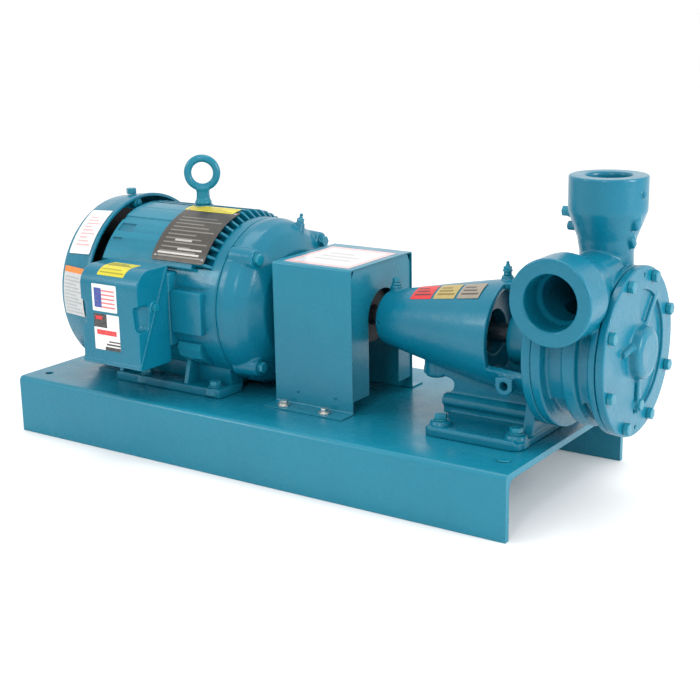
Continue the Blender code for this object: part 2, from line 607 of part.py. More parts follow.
hub_face = JAW_HALF + GAP
coupling_hub("coupling_hub_motor", motor_axis, 470.0, COUPLING_MID - hub_face,
             COUPLING_MID + JAW_HALF - 0.5, 17.7, 30.0)
coupling_hub("coupling_hub_pump", pump_axis, 570.0, COUPLING_MID + hub_face,
             COUPLING_MID - JAW_HALF + 0.5, PUMP_SHAFT_R + GAP, 90.0)
coupling_spider = add("coupling_spider", tube(COUPLING_MID - JAW_HALF + 0.5, COUPLING_MID + JAW_HALF - 0.5,
                                              12.0, 22.0, 14), RUBBER, parent=motor_axis)
for leg in range(6):
    unite(coupling_spider, prism(sector(20.0, COUPLING_R - 2.0, 60.0 * leg - SPIDER_LEG_ANGLE / 2,
                                        60.0 * leg + SPIDER_LEG_ANGLE / 2, 2),
                                 COUPLING_MID - JAW_HALF + 0.5, COUPLING_MID + JAW_HALF - 0.5), "leg",
          parent=motor_axis)

# ---------------------------------------------------------------- bearing bracket
bracket_outside = [(BRACKET_START, 38.0), (650.0, 50.5), (700.0, 60.5), (761.0, 72.0),
                   (BRACKET_FLANGE_X0, 87.0), (BRACKET_FLANGE_X0, FLANGE_R),
                   (BRACKET_FLANGE_X1, FLANGE_R)]
bracket_inside = [(BRACKET_FLANGE_X1, 78.0), (776.0, 66.0), (776.0, 31.4), (742.0, 31.4),
                  (742.0, 26.5), (605.0, 26.5), (605.0, 16.0), (BRACKET_START, 16.0)]
bearing_bracket = add("bearing_bracket", turned(bracket_outside + bracket_inside, 24, closed=True),
                      CAST_ENAMEL, location=(0.0, 0.0, AXIS_Z))

foot_base, foot_face = FOOT_Z - AXIS_Z, FOOT_Z + BRACKET_FOOT_THICK - AXIS_Z
foot_x0, foot_x1 = BRACKET_FOOT_X
unite(bearing_bracket, bevelled(block(foot_x0, foot_x1, -BRACKET_FOOT_Y, BRACKET_FOOT_Y, foot_base,
                                      foot_face), 16.0, 3,
                                lambda e: abs(e.verts[0].co.z - e.verts[1].co.z) > 5.0), "foot")
web = ([(666.0, -48.0), (672.0, -72.0)] + arc(22.0, 60.0, -60.0, 3, (686.0, foot_face + 26.0))
       + [(foot_x0 + 6.0, foot_face - 4.0), (foot_x1 - 6.0, foot_face - 4.0), (foot_x1 - 6.0, -60.0),
          (760.0, -50.0)])
unite(bearing_bracket, prism(web, -9.0, 9.0, axis='Y'), "web")
cross_web = [(-62.0, foot_face - 4.0), (62.0, foot_face - 4.0), (40.0, -64.0), (-40.0, -64.0)]
unite(bearing_bracket, prism(cross_web, 846.0, 862.0), "cross_web")
for window_side in (-1.0, 1.0):
    low, high = (104.5, 206.0) if window_side < 0 else (-26.0, 75.5)
    wedge = [(0.0, 0.0)] + arc(170.0, low, high, 3)
    cut(bearing_bracket, prism(wedge, WINDOW_X0, WINDOW_X1), "window")
    lug = moved(crosswise(rod(64.0, 81.0, 13.0, 10)), 831.5, 0.0, 174.5 - AXIS_Z)
    if window_side < 0:
        bmesh.ops.rotate(lug, cent=(831.5, 0, 0), matrix=Matrix.Rotation(math.pi, 3, 'Z'),
                         verts=lug.verts)
    unite(bearing_bracket, lug, "drain_lug")
    hole = crosswise(rod(60.0, 90.0, 6.0, 8))
    if window_side < 0:
        bmesh.ops.rotate(hole, cent=(0, 0, 0), matrix=Matrix.Rotation(math.pi, 3, 'Z'),
                         verts=hole.verts)
    cut(bearing_bracket, moved(hole, 831.5, 0.0, 174.5 - AXIS_Z), "drain_hole")
OIL_PLUG_X, OIL_PLUG_Z = 612.0, 50.0
GREASE2_X, GREASE2_Z = 794.0, 84.0
unite(bearing_bracket, moved(upright(rod(30.0, OIL_PLUG_Z, 9.0, 10)), OIL_PLUG_X), "oil_boss")
unite(bearing_bracket, moved(upright(rod(70.0, GREASE2_Z, 7.5, 10)), GREASE2_X), "grease_boss")
number = 1
for bolt_x in BRACKET_BOLTS_X:
    for bolt_y in (-BRACKET_BOLTS_Y, BRACKET_BOLTS_Y):
        pad = moved(upright(rod(foot_base, foot_face + 5.0, 15.0, 10)), bolt_x, bolt_y)
        unite(bearing_bracket, pad, "bolt_pad")
        cut(bearing_bracket, moved(upright(rod(-170.0, -90.0, FOOT_HOLE_R, 8)), bolt_x, bolt_y),
            "bolt_hole")
        base_bolt(f"bracket_foot_bolt_{number}", bolt_x, bolt_y, FOOT_Z + BRACKET_FOOT_THICK + 5.0)
        number += 1

add("bracket_oil_plug", fastener(
    [(OIL_PLUG_Z + GAP, 4.6, 'round'), (OIL_PLUG_Z + 2.5, 4.6, 'round'), (OIL_PLUG_Z + 2.5, 5.6, 'hex'),
     (OIL_PLUG_Z + 9.0, 5.6, 'hex'), (OIL_PLUG_Z + 10.0, 4.6, 'round')]), ENAMEL,
    location=(OIL_PLUG_X, 0.0, AXIS_Z))
add("bracket_grease_fitting", fastener(
    [(GREASE2_Z + GAP, 5.0, 'round'), (GREASE2_Z + 3.0, 5.0, 'round'), (GREASE2_Z + 3.0, 5.6, 'hex'),
     (GREASE2_Z + 10.0, 5.6, 'hex'), (GREASE2_Z + 10.0, 3.2, 'round'), (GREASE2_Z + 15.0, 3.4, 'round'),
     (GREASE2_Z + 19.0, 1.8, 'round')]), ENAMEL, location=(GREASE2_X, 0.0, AXIS_Z))
add("bracket_bearing_inner", tube(606.0, 621.0, 12.9, 26.0, 20), STEEL, location=(0.0, 0.0, AXIS_Z))
add("bracket_bearing_outer", tube(742.5, 758.5, 14.4, 30.8, 20), STEEL, location=(0.0, 0.0, AXIS_Z))

# ---------------------------------------------------------------- pump shaft, seal and impeller
add("pump_shaft", turned(
    [(PUMP_SHAFT_START + 1.5, 0.0), (PUMP_SHAFT_START + 1.5, PUMP_SHAFT_R), (592.0, PUMP_SHAFT_R),
     (592.0, 12.5), (624.0, 12.5), (624.0, 18.0), (739.0, 18.0), (739.0, 14.0), (924.0, 14.0),
     (924.0, 12.5), (960.0, 12.5), (960.0, 10.0), (PUMP_SHAFT_END, 10.0), (PUMP_SHAFT_END, 0.0)],
    16), STEEL, parent=pump_axis)
add("seal_gland", turned(
    [(868.0, 17.0), (868.0, 44.0), (CASING_BACK - GAP, 44.0), (CASING_BACK - GAP, 60.0),
     (876.0, 60.0), (862.0, 56.0), (862.0, 17.0)], 24, closed=True), CAST_ENAMEL,
    location=(0.0, 0.0, AXIS_Z))
add("water_slinger", tube(846.0, 850.0, 14.3, 30.0, 20), RUBBER, parent=pump_axis)
add("seal_seat", tube(888.0, 897.0, 15.0, 24.6, 20), CARBON, location=(0.0, 0.0, AXIS_Z))
add("seal_head", tube(897.6, 920.0, 14.4, 22.5, 20), STEEL, parent=pump_axis)


def vane_outline(inner, outer, count, share):
    """A toothed wheel outline: count vanes between the inner and outer radius."""
    points = []
    for vane in range(count):
        middle = 360.0 * vane / count
        reach = 360.0 / count * share / 2
        for radius, angle in ((inner, middle - reach), (outer, middle - reach),
                              (outer, middle + reach), (inner, middle + reach)):
            points += arc(radius, angle, angle, 1)[:1]
    return points


impeller = add("impeller", tube(938.5, 945.5, 12.8, IMPELLER_R - 1.0, 24), BRONZE, parent=pump_axis)
unite(impeller, prism(vane_outline(68.0, IMPELLER_R, IMPELLER_VANES, 0.3), IMPELLER_X0, IMPELLER_X1),
      "vanes", parent=pump_axis)
unite(impeller, tube(925.0, 958.0, 12.8, 24.0, 16), "hub", parent=pump_axis)
cut(impeller, rod(920.0, 965.0, 12.8, 16), "bore", parent=pump_axis)

# ---------------------------------------------------------------- pump casing
casing = add("pump_casing", turned(
    [(CASING_BACK, 0.0), (CASING_BACK, FLANGE_R), (901.0, FLANGE_R), (903.0, CASING_BARREL_R),
     (926.0, CASING_BARREL_R), (928.0, 107.0), (946.0, 107.0), (948.0, CASING_BARREL_R),
     (964.0, CASING_BARREL_R), (969.0, FLANGE_R - 1.0), (CASING_FRONT, FLANGE_R - 1.0),
     (CASING_FRONT, 0.0)], 28), CAST_ENAMEL, location=(0.0, 0.0, AXIS_Z))
suction_boss = crosswise(turned(
    [(SUCTION_FACE_Y, 0.0), (SUCTION_FACE_Y, SUCTION_R), (-98.0, SUCTION_R), (-52.0, 43.0),
     (0.0, 43.0), (0.0, 0.0)], 22))
unite(casing, moved(suction_boss, PORT_X, 0.0, SUCTION_Z), "suction_boss", location=(0, 0, 0))
discharge_boss = upright(turned(
    [(250.0, 0.0), (250.0, 36.0), (352.0, 36.0), (372.0, 39.5), (408.0, DISCHARGE_R),
     (DISCHARGE_FACE_Z, DISCHARGE_R), (DISCHARGE_FACE_Z, 0.0)], 22))
unite(casing, moved(discharge_boss, PORT_X, DISCHARGE_Y), "discharge_boss", location=(0, 0, 0))
cut(casing, rod(855.0, CASING_BACK, FLANGE_R + 2.0, 28), "bracket_clearance")
cut(casing, rod(CASING_FRONT, 1010.0, FLANGE_R + 2.0, 28), "cover_clearance")
cut(casing, rod(CHAMBER_BACK, 1000.0, CHAMBER_R, 24), "chamber")
cut(casing, rod(880.0, 950.0, 25.6, 16), "seal_bore")
suction_bore = crosswise(turned(
    [(SUCTION_FACE_Y - 5.0, 0.0), (SUCTION_FACE_Y - 5.0, SUCTION_BORE_R), (-112.0, SUCTION_BORE_R),
     (-106.0, 31.0), (-18.0, 31.0), (-18.0, 0.0)], 16))
cut(casing, moved(suction_bore, PORT_X, 0.0, SUCTION_Z), "suction_bore", location=(0, 0, 0))
cut(casing, block(PORT_X - 17.0, PORT_X + 17.0, -52.0, -22.0, 268.0, SUCTION_Z), "suction_passage",
    location=(0, 0, 0))
discharge_bore = upright(turned(
    [(DISCHARGE_FACE_Z + 5.0, 0.0), (DISCHARGE_FACE_Z + 5.0, DISCHARGE_BORE_R),
     (422.0, DISCHARGE_BORE_R), (416.0, 26.0), (288.0, 26.0), (288.0, 0.0)], 16))
cut(casing, moved(discharge_bore, PORT_X, DISCHARGE_Y), "discharge_bore", location=(0, 0, 0))

# ---------------------------------------------------------------- casing cover, gasket and bolts
add("cover_gasket", tube(CASING_FRONT + GAP, CASING_FRONT + GAP + GASKET_THICK, CHAMBER_R + 1.0, 97.0,
                         24), GASKET, location=(0.0, 0.0, AXIS_Z))
cover_back = [(COVER_BACK, 0.0), (COVER_BACK, FLANGE_R), (COVER_FACE, FLANGE_R), (COVER_FACE, 0.0)]
casing_cover = add("casing_cover", turned(cover_back, 28), CAST_ENAMEL, location=(0.0, 0.0, AXIS_Z))
pocket = arc(83.4, -100.0, 88.0, 14) + [(-6.0, 60.0), (0.0, 0.0), (-8.0, -50.0)]
cut(casing_cover, prism(pocket, COVER_POCKET_X, COVER_FACE + 4.0), "pocket")
cover_boss = [(COVER_POCKET_X - 2.0, 0.0), (COVER_POCKET_X - 2.0, COVER_BOSS_R + 2.0),
              (COVER_FACE, COVER_BOSS_R + 2.0), (COVER_BOSS_X - 3.0, COVER_BOSS_R),
              (COVER_BOSS_X, COVER_BOSS_R - 4.0), (COVER_BOSS_X, 0.0)]
unite(casing_cover, turned(cover_boss, 24), "boss")
cut(casing_cover, rod(970.0, 998.0, 12.0, 14), "shaft_pocket")
for index in range(COVER_BOLT_COUNT):
    angle = 360.0 / COVER_BOLT_COUNT * (index + 0.5)
    (bolt_y, bolt_z), = arc(COVER_BOLT_R, angle, angle, 1)[:1]
    add(f"cover_bolt_{index + 1}", fastener(
        [(0.0, 8.6, 'round'), (1.6, 8.6, 'round'), (1.6, 7.2, 'hex'), (9.2, 7.2, 'hex')]), ENAMEL,
        location=(COVER_FACE + GAP, bolt_y, AXIS_Z + bolt_z), rotation=(0.0, math.pi / 2, 0.0))
COVER_PLUG_Y, COVER_PLUG_Z = 2.0, -73.0
add("cover_plug", fastener(
    [(0.0, 6.5, 'round'), (2.0, 6.5, 'round'), (2.0, 7.2, 'hex'), (9.0, 7.2, 'hex'),
     (10.0, 6.2, 'round')]), ENAMEL, location=(COVER_POCKET_X + GAP, COVER_PLUG_Y, AXIS_Z + COVER_PLUG_Z),
    rotation=(0.0, math.pi / 2, 0.0))
DISCHARGE_PLUG_Z = 402.0
add("discharge_plug", fastener(
    [(0.0, 6.0, 'round'), (4.0, 6.0, 'round'), (4.0, 7.0, 'hex'), (11.0, 7.0, 'hex'),
     (12.0, 6.0, 'round')]), ENAMEL, location=(PORT_X - DISCHARGE_R - GAP, DISCHARGE_Y, DISCHARGE_PLUG_Z),
    rotation=(0.0, -math.pi / 2, 0.0))
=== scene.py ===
"""Looks of a base-mounted pump set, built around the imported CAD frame.

Shapes are made in millimetres in the set's layout: X runs along the shaft from the fan cover to the
pump cover, Y is measured from the shaft (the conduit box is on the -Y side), Z up from the floor.
put() turns them into metres in the frame.
"""
import math

import bmesh
import bpy
from mathutils import Matrix, Vector


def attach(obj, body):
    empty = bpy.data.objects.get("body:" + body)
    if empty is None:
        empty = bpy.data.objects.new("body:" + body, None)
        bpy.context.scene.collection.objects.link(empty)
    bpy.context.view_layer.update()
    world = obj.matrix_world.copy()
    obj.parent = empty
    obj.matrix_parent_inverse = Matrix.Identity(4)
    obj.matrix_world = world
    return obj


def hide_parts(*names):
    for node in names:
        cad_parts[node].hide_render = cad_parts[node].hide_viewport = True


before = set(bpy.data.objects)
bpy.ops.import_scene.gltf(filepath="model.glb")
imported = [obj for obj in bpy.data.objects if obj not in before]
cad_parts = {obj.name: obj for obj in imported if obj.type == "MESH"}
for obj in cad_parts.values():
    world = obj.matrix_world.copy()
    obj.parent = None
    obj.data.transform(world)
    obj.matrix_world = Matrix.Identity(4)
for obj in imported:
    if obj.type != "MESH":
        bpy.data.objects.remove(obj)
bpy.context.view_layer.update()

MM = 0.001
SHIFT = Vector((-503.0, 10.0, 0.0))
AXIS = 226.35
BASE_TOP = 93.0
ANCHORS = ((30.0, -151.0), (30.0, 151.0), (864.0, -138.0), (864.0, 138.0))
MOTOR_FEET = (208.0, 348.0)         # x of the motor's foot holes
MOTOR_FEET_Y = 107.95
BRACKET_FEET = (734.0, 852.0)       # x of the bracket's foot holes
BRACKET_FEET_Y = 80.0
SHIELD_BOLT_R = 118.0
COVER_BOLT_R = 103.5
PORT_X = 930.0                      # both pump ports
SUCTION_Z = 315.0
DISCHARGE_Y = 21.7


# ------------------------------------------------------------------ shapes, in millimetres
def arc(radius, start, end, steps, centre=(0.0, 0.0)):
    """Points along an arc; angles in degrees, counter-clockwise."""
    angles = [math.radians(start + (end - start) * i / steps) for i in range(steps + 1)]
    return [(centre[0] + radius * math.cos(a), centre[1] + radius * math.sin(a)) for a in angles]


def soft(points, closed=False, steps=5):
    """An outline whose corners are rounded where a point gives a third number, the radius."""
    made = []
    count = len(points)
    for i, point in enumerate(points):
        here = Vector(point[:2])
        if len(point) < 3 or (not closed and i in (0, count - 1)):
            made.append(tuple(here))
            continue
        to_last = Vector(points[i - 1][:2]) - here
        to_next = Vector(points[(i + 1) % count][:2]) - here
        half = to_last.angle(to_next) / 2
        reach = min(point[2] / math.tan(half), to_last.length * 0.49, to_next.length * 0.49)
        radius = reach * math.tan(half)
        middle = here + (to_last.normalized() + to_next.normalized()).normalized() * radius / math.sin(half)
        first = here + to_last.normalized() * reach - middle
        last = here + to_next.normalized() * reach - middle
        turn = first.angle_signed(last)
        for step in range(steps + 1):
            spun = Matrix.Rotation(-turn * step / steps, 2) @ first
            made.append(tuple(middle + spun))
    return made


def lathe(profile, segments=96, closed=False):
    """(x, radius) points turned about the X axis."""
    bm = bmesh.new()
    columns = []
    for x, radius in profile:
        if radius < 1e-6:
            columns.append([bm.verts.new((x, 0.0, 0.0))])
        else:
            columns.append([bm.verts.new((x, radius * math.cos(t), radius * math.sin(t)))
                    for t in (2 * math.pi * k / segments for k in range(segments))])
    pairs = list(zip(columns, columns[1:]))
    if closed:
        pairs.append((columns[-1], columns[0]))
    for low, high in pairs:
        for k in range(segments):
            n = (k + 1) % segments
            if len(low) == 1 and len(high) == 1:
                break
            if len(low) == 1:
                bm.faces.new((low[0], high[n], high[k]))
            elif len(high) == 1:
                bm.faces.new((low[k], low[n], high[0]))
            else:
                bm.faces.new((low[k], low[n], high[n], high[k]))
    return bm


def bar(x0, x1, radius, segments=48):
    return lathe([(x0, 0.0), (x0, radius), (x1, radius), (x1, 0.0)], segments)


def ring(x0, x1, inner, outer, segments=96, edge=0.8):
    return lathe(soft([(x0, inner, edge), (x0, outer, edge), (x1, outer, edge), (x1, inner, edge)], True,
            3), segments, closed=True)


def turned(points, segments=40):
    """A soft outline of (x, radius) points turned about the X axis."""
    return lathe(soft(points), segments)


def prism(outline, start, end, axis='X'):
    """A closed outline pushed out along an axis: (y, z) for X, (x, z) for Y, (x, y) for Z."""
    place = {'X': lambda a, b, t: (t, a, b), 'Y': lambda a, b, t: (a, t, b),
            'Z': lambda a, b, t: (a, b, t)}[axis]
    bm = bmesh.new()
    ends = [[bm.verts.new(place(a, b, t)) for a, b in outline] for t in (start, end)]
    bm.faces.new(ends[0])
    bm.faces.new(ends[1])
    count = len(outline)
    for k in range(count):
        n = (k + 1) % count
        bm.faces.new((ends[0][k], ends[0][n], ends[1][n], ends[1][k]))
    return bm


def block(x0, x1, y0, y1, z0, z1, edge=0.0, steps=3):
    bm = bmesh.new()
    bmesh.ops.create_cube(bm, size=1.0)
    bmesh.ops.scale(bm, vec=(x1 - x0, y1 - y0, z1 - z0), verts=bm.verts)
    bmesh.ops.translate(bm, vec=((x0 + x1) / 2, (y0 + y1) / 2, (z0 + z1) / 2), verts=bm.verts)
    return eased(bm, edge, steps) if edge else bm


def eased(bm, width, steps=3):
    """Round every edge."""
    bmesh.ops.bevel(bm, geom=list(bm.edges), offset=width, segments=steps, affect='EDGES', profile=0.5,
            clamp_overlap=True)
    return bm


def spun(bm, degrees, axis='X', centre=(0.0, 0.0, 0.0)):
    bmesh.ops.rotate(bm, cent=centre, matrix=Matrix.Rotation(math.radians(degrees), 3, axis),
            verts=bm.verts)
    return bm


def upright(bm):
    return spun(bm, -90.0, 'Y')


def crosswise(bm):
    """Turn a shape made about X so that it runs along Y."""
    return spun(bm, 90.0, 'Z')


def moved(bm, x=0.0, y=0.0, z=0.0):
    bmesh.ops.translate(bm, vec=(x, y, z), verts=bm.verts)
    return bm


def standing(bm, x=0.0, y=0.0):
    """Turn a shape made about X upright, then move it."""
    return moved(upright(bm), x, y)


def circled(bm, radius, degrees):
    """Move a shape made about X out to a point on a circle round the shaft."""
    a = math.radians(degrees)
    return moved(bm, 0.0, radius * math.cos(a), radius * math.sin(a))


def together(*shapes):
    """Several separate shapes in one mesh."""
    whole = bmesh.new()
    for bm in shapes:
        part = bpy.data.meshes.new("part")
        bm.to_mesh(part)
        bm.free()
        whole.from_mesh(part)
        bpy.data.meshes.remove(part)
    return whole


def torus(mean, wire, around=96, across=28):
    """A ring whose axis is Y."""
    turns = [2 * math.pi * k / across for k in range(across)]
    loop = [(wire * math.sin(a), mean + wire * math.cos(a)) for a in turns]
    return crosswise(lathe(loop, around, closed=True))


def hexagon(x0, x1, flats, crown=1.2):
    """A hex head along X, with its outer corners turned off like a machined head."""
    corner = flats / math.cos(math.radians(30.0))
    bm = prism([(corner * math.cos(math.radians(a)), corner * math.sin(math.radians(a)))
            for a in range(0, 360, 60)], x0, x1)
    edges = [e for e in bm.edges if abs(e.verts[0].co.x - x1) < 1e-4 and abs(e.verts[1].co.x - x1) < 1e-4]
    bmesh.ops.bevel(bm, geom=edges, offset=crown, segments=3, affect='EDGES', profile=0.6,
            clamp_overlap=True)
    return bm


def bolt(seat, flats=8.0, height=6.5, washer=0.0, shank=0.0, reach=0.0):
    """Hex bolt about X, its seat at x = seat and its head towards +X."""
    shapes = []
    if washer:
        shapes.append(turned([(seat, 0.0), (seat, washer, 0.4), (seat + 1.8, washer, 0.6),
                (seat + 1.8, 0.0)]))
        seat += 1.8
    shapes.append(turned([(seat, 0.0), (seat, flats * 0.97), (seat + 0.7, flats * 0.97, 0.3),
            (seat + 0.7, 0.0)]))
    shapes.append(hexagon(seat + 0.5, seat + height, flats))
    if shank:
        shapes.append(bar(seat - reach, seat, shank, 20))
    return together(*shapes)


# ------------------------------------------------------------------ objects
def put(name, bm, at_shaft=False, sharp=32.0):
    """A bmesh in layout millimetres becomes an object in the frame, in metres."""
    if at_shaft:
        moved(bm, z=AXIS)
    bmesh.ops.recalc_face_normals(bm, faces=bm.faces)
    bmesh.ops.translate(bm, vec=SHIFT, verts=bm.verts)
    bmesh.ops.scale(bm, vec=(MM, MM, MM), verts=bm.verts)
    mesh = bpy.data.meshes.new(name)
    bm.to_mesh(mesh)
    bm.free()
    mesh.shade_smooth()
    mesh.set_sharp_from_angle(angle=math.radians(sharp))
    made = bpy.data.objects.new(name, mesh)
    bpy.context.scene.collection.objects.link(made)
    return made


def carve(name, base, steps, at_shaft=False, voxel=0.0, blur=8, keep=1.0, sharp=32.0):
    """Add ('+') and cut ('-') shapes, then melt the result into one cast skin if voxel is given.

    Melted shapes are nudged by a few hundredths of a millimetre, so that no two faces lie in one plane."""
    body = put(name, base, at_shaft, sharp)
    tools = []
    for i, (sign, bm) in enumerate(steps):
        if voxel:
            moved(bm, 0.017 * (i % 3 + 1), 0.013 * (i % 4 + 1), 0.019 * (i % 2 + 1))
        tool = put("tool", bm, at_shaft)
        change = body.modifiers.new("cut", 'BOOLEAN')
        change.operation = 'UNION' if sign == '+' else 'DIFFERENCE'
        change.object = tool
        tools.append(tool)
    if voxel:
        skin = body.modifiers.new("skin", 'REMESH')
        skin.mode = 'VOXEL'
        skin.voxel_size = voxel * MM
        skin.use_smooth_shade = True
        melt = body.modifiers.new("melt", 'SMOOTH')
        melt.factor = 0.5
        melt.iterations = blur
        if keep < 1.0:
            thin = body.modifiers.new("thin", 'DECIMATE')
            thin.ratio = keep
    bpy.context.view_layer.update()
    done = bpy.data.meshes.new_from_object(body.evaluated_get(bpy.context.evaluated_depsgraph_get()))
    body.modifiers.clear()
    body.data = done
    for tool in tools:
        bpy.data.objects.remove(tool)
    done.shade_smooth()
    if not voxel:
        done.set_sharp_from_angle(angle=math.radians(sharp))
    return body


def wear(made, look, body="root", stands_for=()):
    """Give a piece its material, its body and the CAD nodes it stands for."""
    made.data.materials.clear()
    made.data.materials.append(look)
    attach(made, body)
    if stands_for:
        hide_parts(*stands_for)
    return made


# ------------------------------------------------------------------ materials
class Graph:
    """A small helper for building one material's nodes."""

    def __init__(self, name):
        self.look = bpy.data.materials.new(name)
        self.look.use_nodes = True
        self.tree = self.look.node_tree
        self.shader = self.tree.nodes["Principled BSDF"]

    def add(self, kind, settings=None, **sockets):
        node = self.tree.nodes.new(kind)
        for key, value in (settings or {}).items():
            setattr(node, key, value)
        for key, value in sockets.items():
            self.feed(node.inputs[int(key[1:]) if key[0] == "i" and key[1:].isdigit()
                    else key.replace("_", " ")], value)
        return node

    def feed(self, socket, value):
        if isinstance(value, bpy.types.NodeSocket):
            self.tree.links.new(value, socket)
        else:
            socket.default_value = value

    def noise(self, scale, detail=3.0, rough=0.55, where=None):
        where = where or self.add("ShaderNodeTexCoord").outputs["Object"]
        return self.add("ShaderNodeTexNoise", Vector=where, Scale=scale, Detail=detail,
                Roughness=rough).outputs["Fac"]

    def span(self, value, low, high, to_low=0.0, to_high=1.0):
        return self.add("ShaderNodeMapRange", Value=value, From_Min=low, From_Max=high, To_Min=to_low,
                To_Max=to_high).outputs["Result"]

    def sum(self, operation, a, b):
        return self.add("ShaderNodeMath", {"operation": operation}, i0=a, i1=b).outputs[0]

    def blend(self, share, first, second, how='MIX'):
        node = self.add("ShaderNodeMix", {"data_type": 'RGBA', "blend_type": how})
        self.feed(node.inputs[0], share)
        self.feed(node.inputs[6], first)
        self.feed(node.inputs[7], second)
        return node.outputs[2]

    def bump(self, height, distance, strength=1.0, normal=None):
        node = self.add("ShaderNodeBump", Height=height, Distance=distance, Strength=strength)
        if normal:
            self.feed(node.inputs["Normal"], normal)
        return node.outputs["Normal"]

    def set(self, **sockets):
        for key, value in sockets.items():
            self.feed(self.shader.inputs[key.replace("_", " ")], value)
        return self.look


def enamel(name, cast, tint=(0.0010, 0.142, 0.224, 1.0), gloss=0.27):
    """Thick glossy teal enamel, with painted highlights on convex edges and painted shade in creases; cast
    is how rough the iron under it is, from 0 for sheet to 1.
    """
    g = Graph(name)
    cloud = g.noise(7.0, 4.0)
    speck = g.noise(420.0, 2.0)
    shade = g.blend(g.span(cloud, 0.3, 0.7), (tint[0] * 0.8, tint[1] * 0.90, tint[2] * 0.92, 1.0),
            (tint[0] * 1.5, tint[1] * 1.08, tint[2] * 1.06, 1.0))
    shade = g.blend(g.span(speck, 0.62, 0.8, 0.0, 0.12), shade, (0.02, 0.27, 0.37, 1.0))
    edge = g.add("ShaderNodeNewGeometry").outputs["Pointiness"]
    # Painted highlight: convex edges, where pointiness is high, are blended towards a lighter teal.
    shade = g.blend(g.span(edge, 0.52, 0.60, 0.0, 0.30), shade, (0.02, 0.27, 0.37, 1.0))
    # Painted shade: concave corners and creases, where pointiness is low, are blended towards a dark teal.
    shade = g.blend(g.span(edge, 0.48, 0.42, 0.0, 0.45), shade, (0.001, 0.062, 0.100, 1.0))
    rough = g.span(g.noise(34.0, 4.0), 0.3, 0.7, gloss - 0.06, gloss + 0.07)
    rounded = g.add("ShaderNodeBevel", {"samples": 4}, Radius=0.0011).outputs["Normal"]
    peel = g.bump(g.noise(520.0, 1.0), 0.00011, 0.5, rounded)
    normal = g.bump(g.noise(95.0, 5.0, 0.62), 0.0011, 0.30 + 0.35 * cast,
            peel) if cast else g.bump(g.noise(26.0, 2.0), 0.0007, 0.28, peel)
    return g.set(Base_Color=shade, Roughness=rough, Normal=normal, Coat_Weight=0.10, Coat_Roughness=0.08,
            Specular_IOR_Level=0.30)


def metal(name, colour, rough, grain=300.0, shine=1.0, grime=0.25):
    """Bare or plated metal with fine handling marks, blotchy grime, and painted shade in the hollows."""
    g = Graph(name)
    cloud = g.noise(60.0, 4.0)
    dark = tuple(c * (1.0 - grime) for c in colour[:3]) + (1.0,)
    shade = g.blend(g.span(cloud, 0.35, 0.7), dark, colour)
    edge = g.add("ShaderNodeNewGeometry").outputs["Pointiness"]
    # Painted shade: concave hollows, where pointiness is low, are darkened to about a third of the colour.
    shade = g.blend(g.span(edge, 0.50, 0.42, 0.0, 0.6), shade, tuple(c * 0.35 for c in colour[:3]) + (1.0,))
    roughness = g.span(g.noise(grain, 3.0), 0.3, 0.7, rough - 0.08, rough + 0.12)
    return g.set(Base_Color=shade, Roughness=roughness, Normal=g.bump(g.noise(grain * 2, 2.0), 0.00006,
            0.5), Metallic=shine)


def matt(name, colour, rough=0.7, grain=700.0):
    g = Graph(name)
    shade = g.blend(g.noise(50.0, 5.0), tuple(c * 0.75 for c in colour[:3]) + (1.0,), colour)
    return g.set(Base_Color=shade, Roughness=g.span(g.noise(grain, 2.0), 0.3, 0.7, rough - 0.1, rough
            + 0.1), Normal=g.bump(g.noise(grain, 3.0), 0.00012, 0.6))


def printed(name, paper, marks, rough=0.34, shine=0.0, fade=0.12):
    """Printed sticker: marks are (u0, u1, v0, v1, colour) boxes over the paper."""
    g = Graph(name)
    place = g.add("ShaderNodeUVMap").outputs["UV"]
    parts = g.add("ShaderNodeSeparateXYZ", Vector=place)
    u, v = parts.outputs["X"], parts.outputs["Y"]
    shade = g.blend(g.span(g.noise(140.0, 4.0), 0.35, 0.7), paper, tuple(c * 0.86 for c in paper[:3])
            + (1.0,))
    ink = g.span(g.noise(900.0, 3.0), 0.25, 0.5, 1.0 - 2.2 * fade, 1.0)
    for u0, u1, v0, v1, colour in marks:
        inside = g.sum('MULTIPLY', g.sum('GREATER_THAN', u, u0), g.sum('LESS_THAN', u, u1))
        inside = g.sum('MULTIPLY', inside, g.sum('GREATER_THAN', v, v0))
        inside = g.sum('MULTIPLY', inside, g.sum('LESS_THAN', v, v1))
        shade = g.blend(g.sum('MULTIPLY', inside, ink), shade, colour)
    return g.set(Base_Color=shade, Roughness=g.span(g.noise(80.0, 3.0), 0.3, 0.7, rough - 0.06, rough
            + 0.1), Normal=g.bump(g.noise(160.0, 3.0), 0.00010, 0.4), Metallic=shine)


SHEET = enamel("sheet_enamel", 0.0)
CAST = enamel("cast_enamel", 0.55)
ROUGH_CAST = enamel("rough_cast_enamel", 1.0)
FITTING = enamel("fitting_enamel", 0.35, (0.002, 0.165, 0.245, 1.0), 0.24)
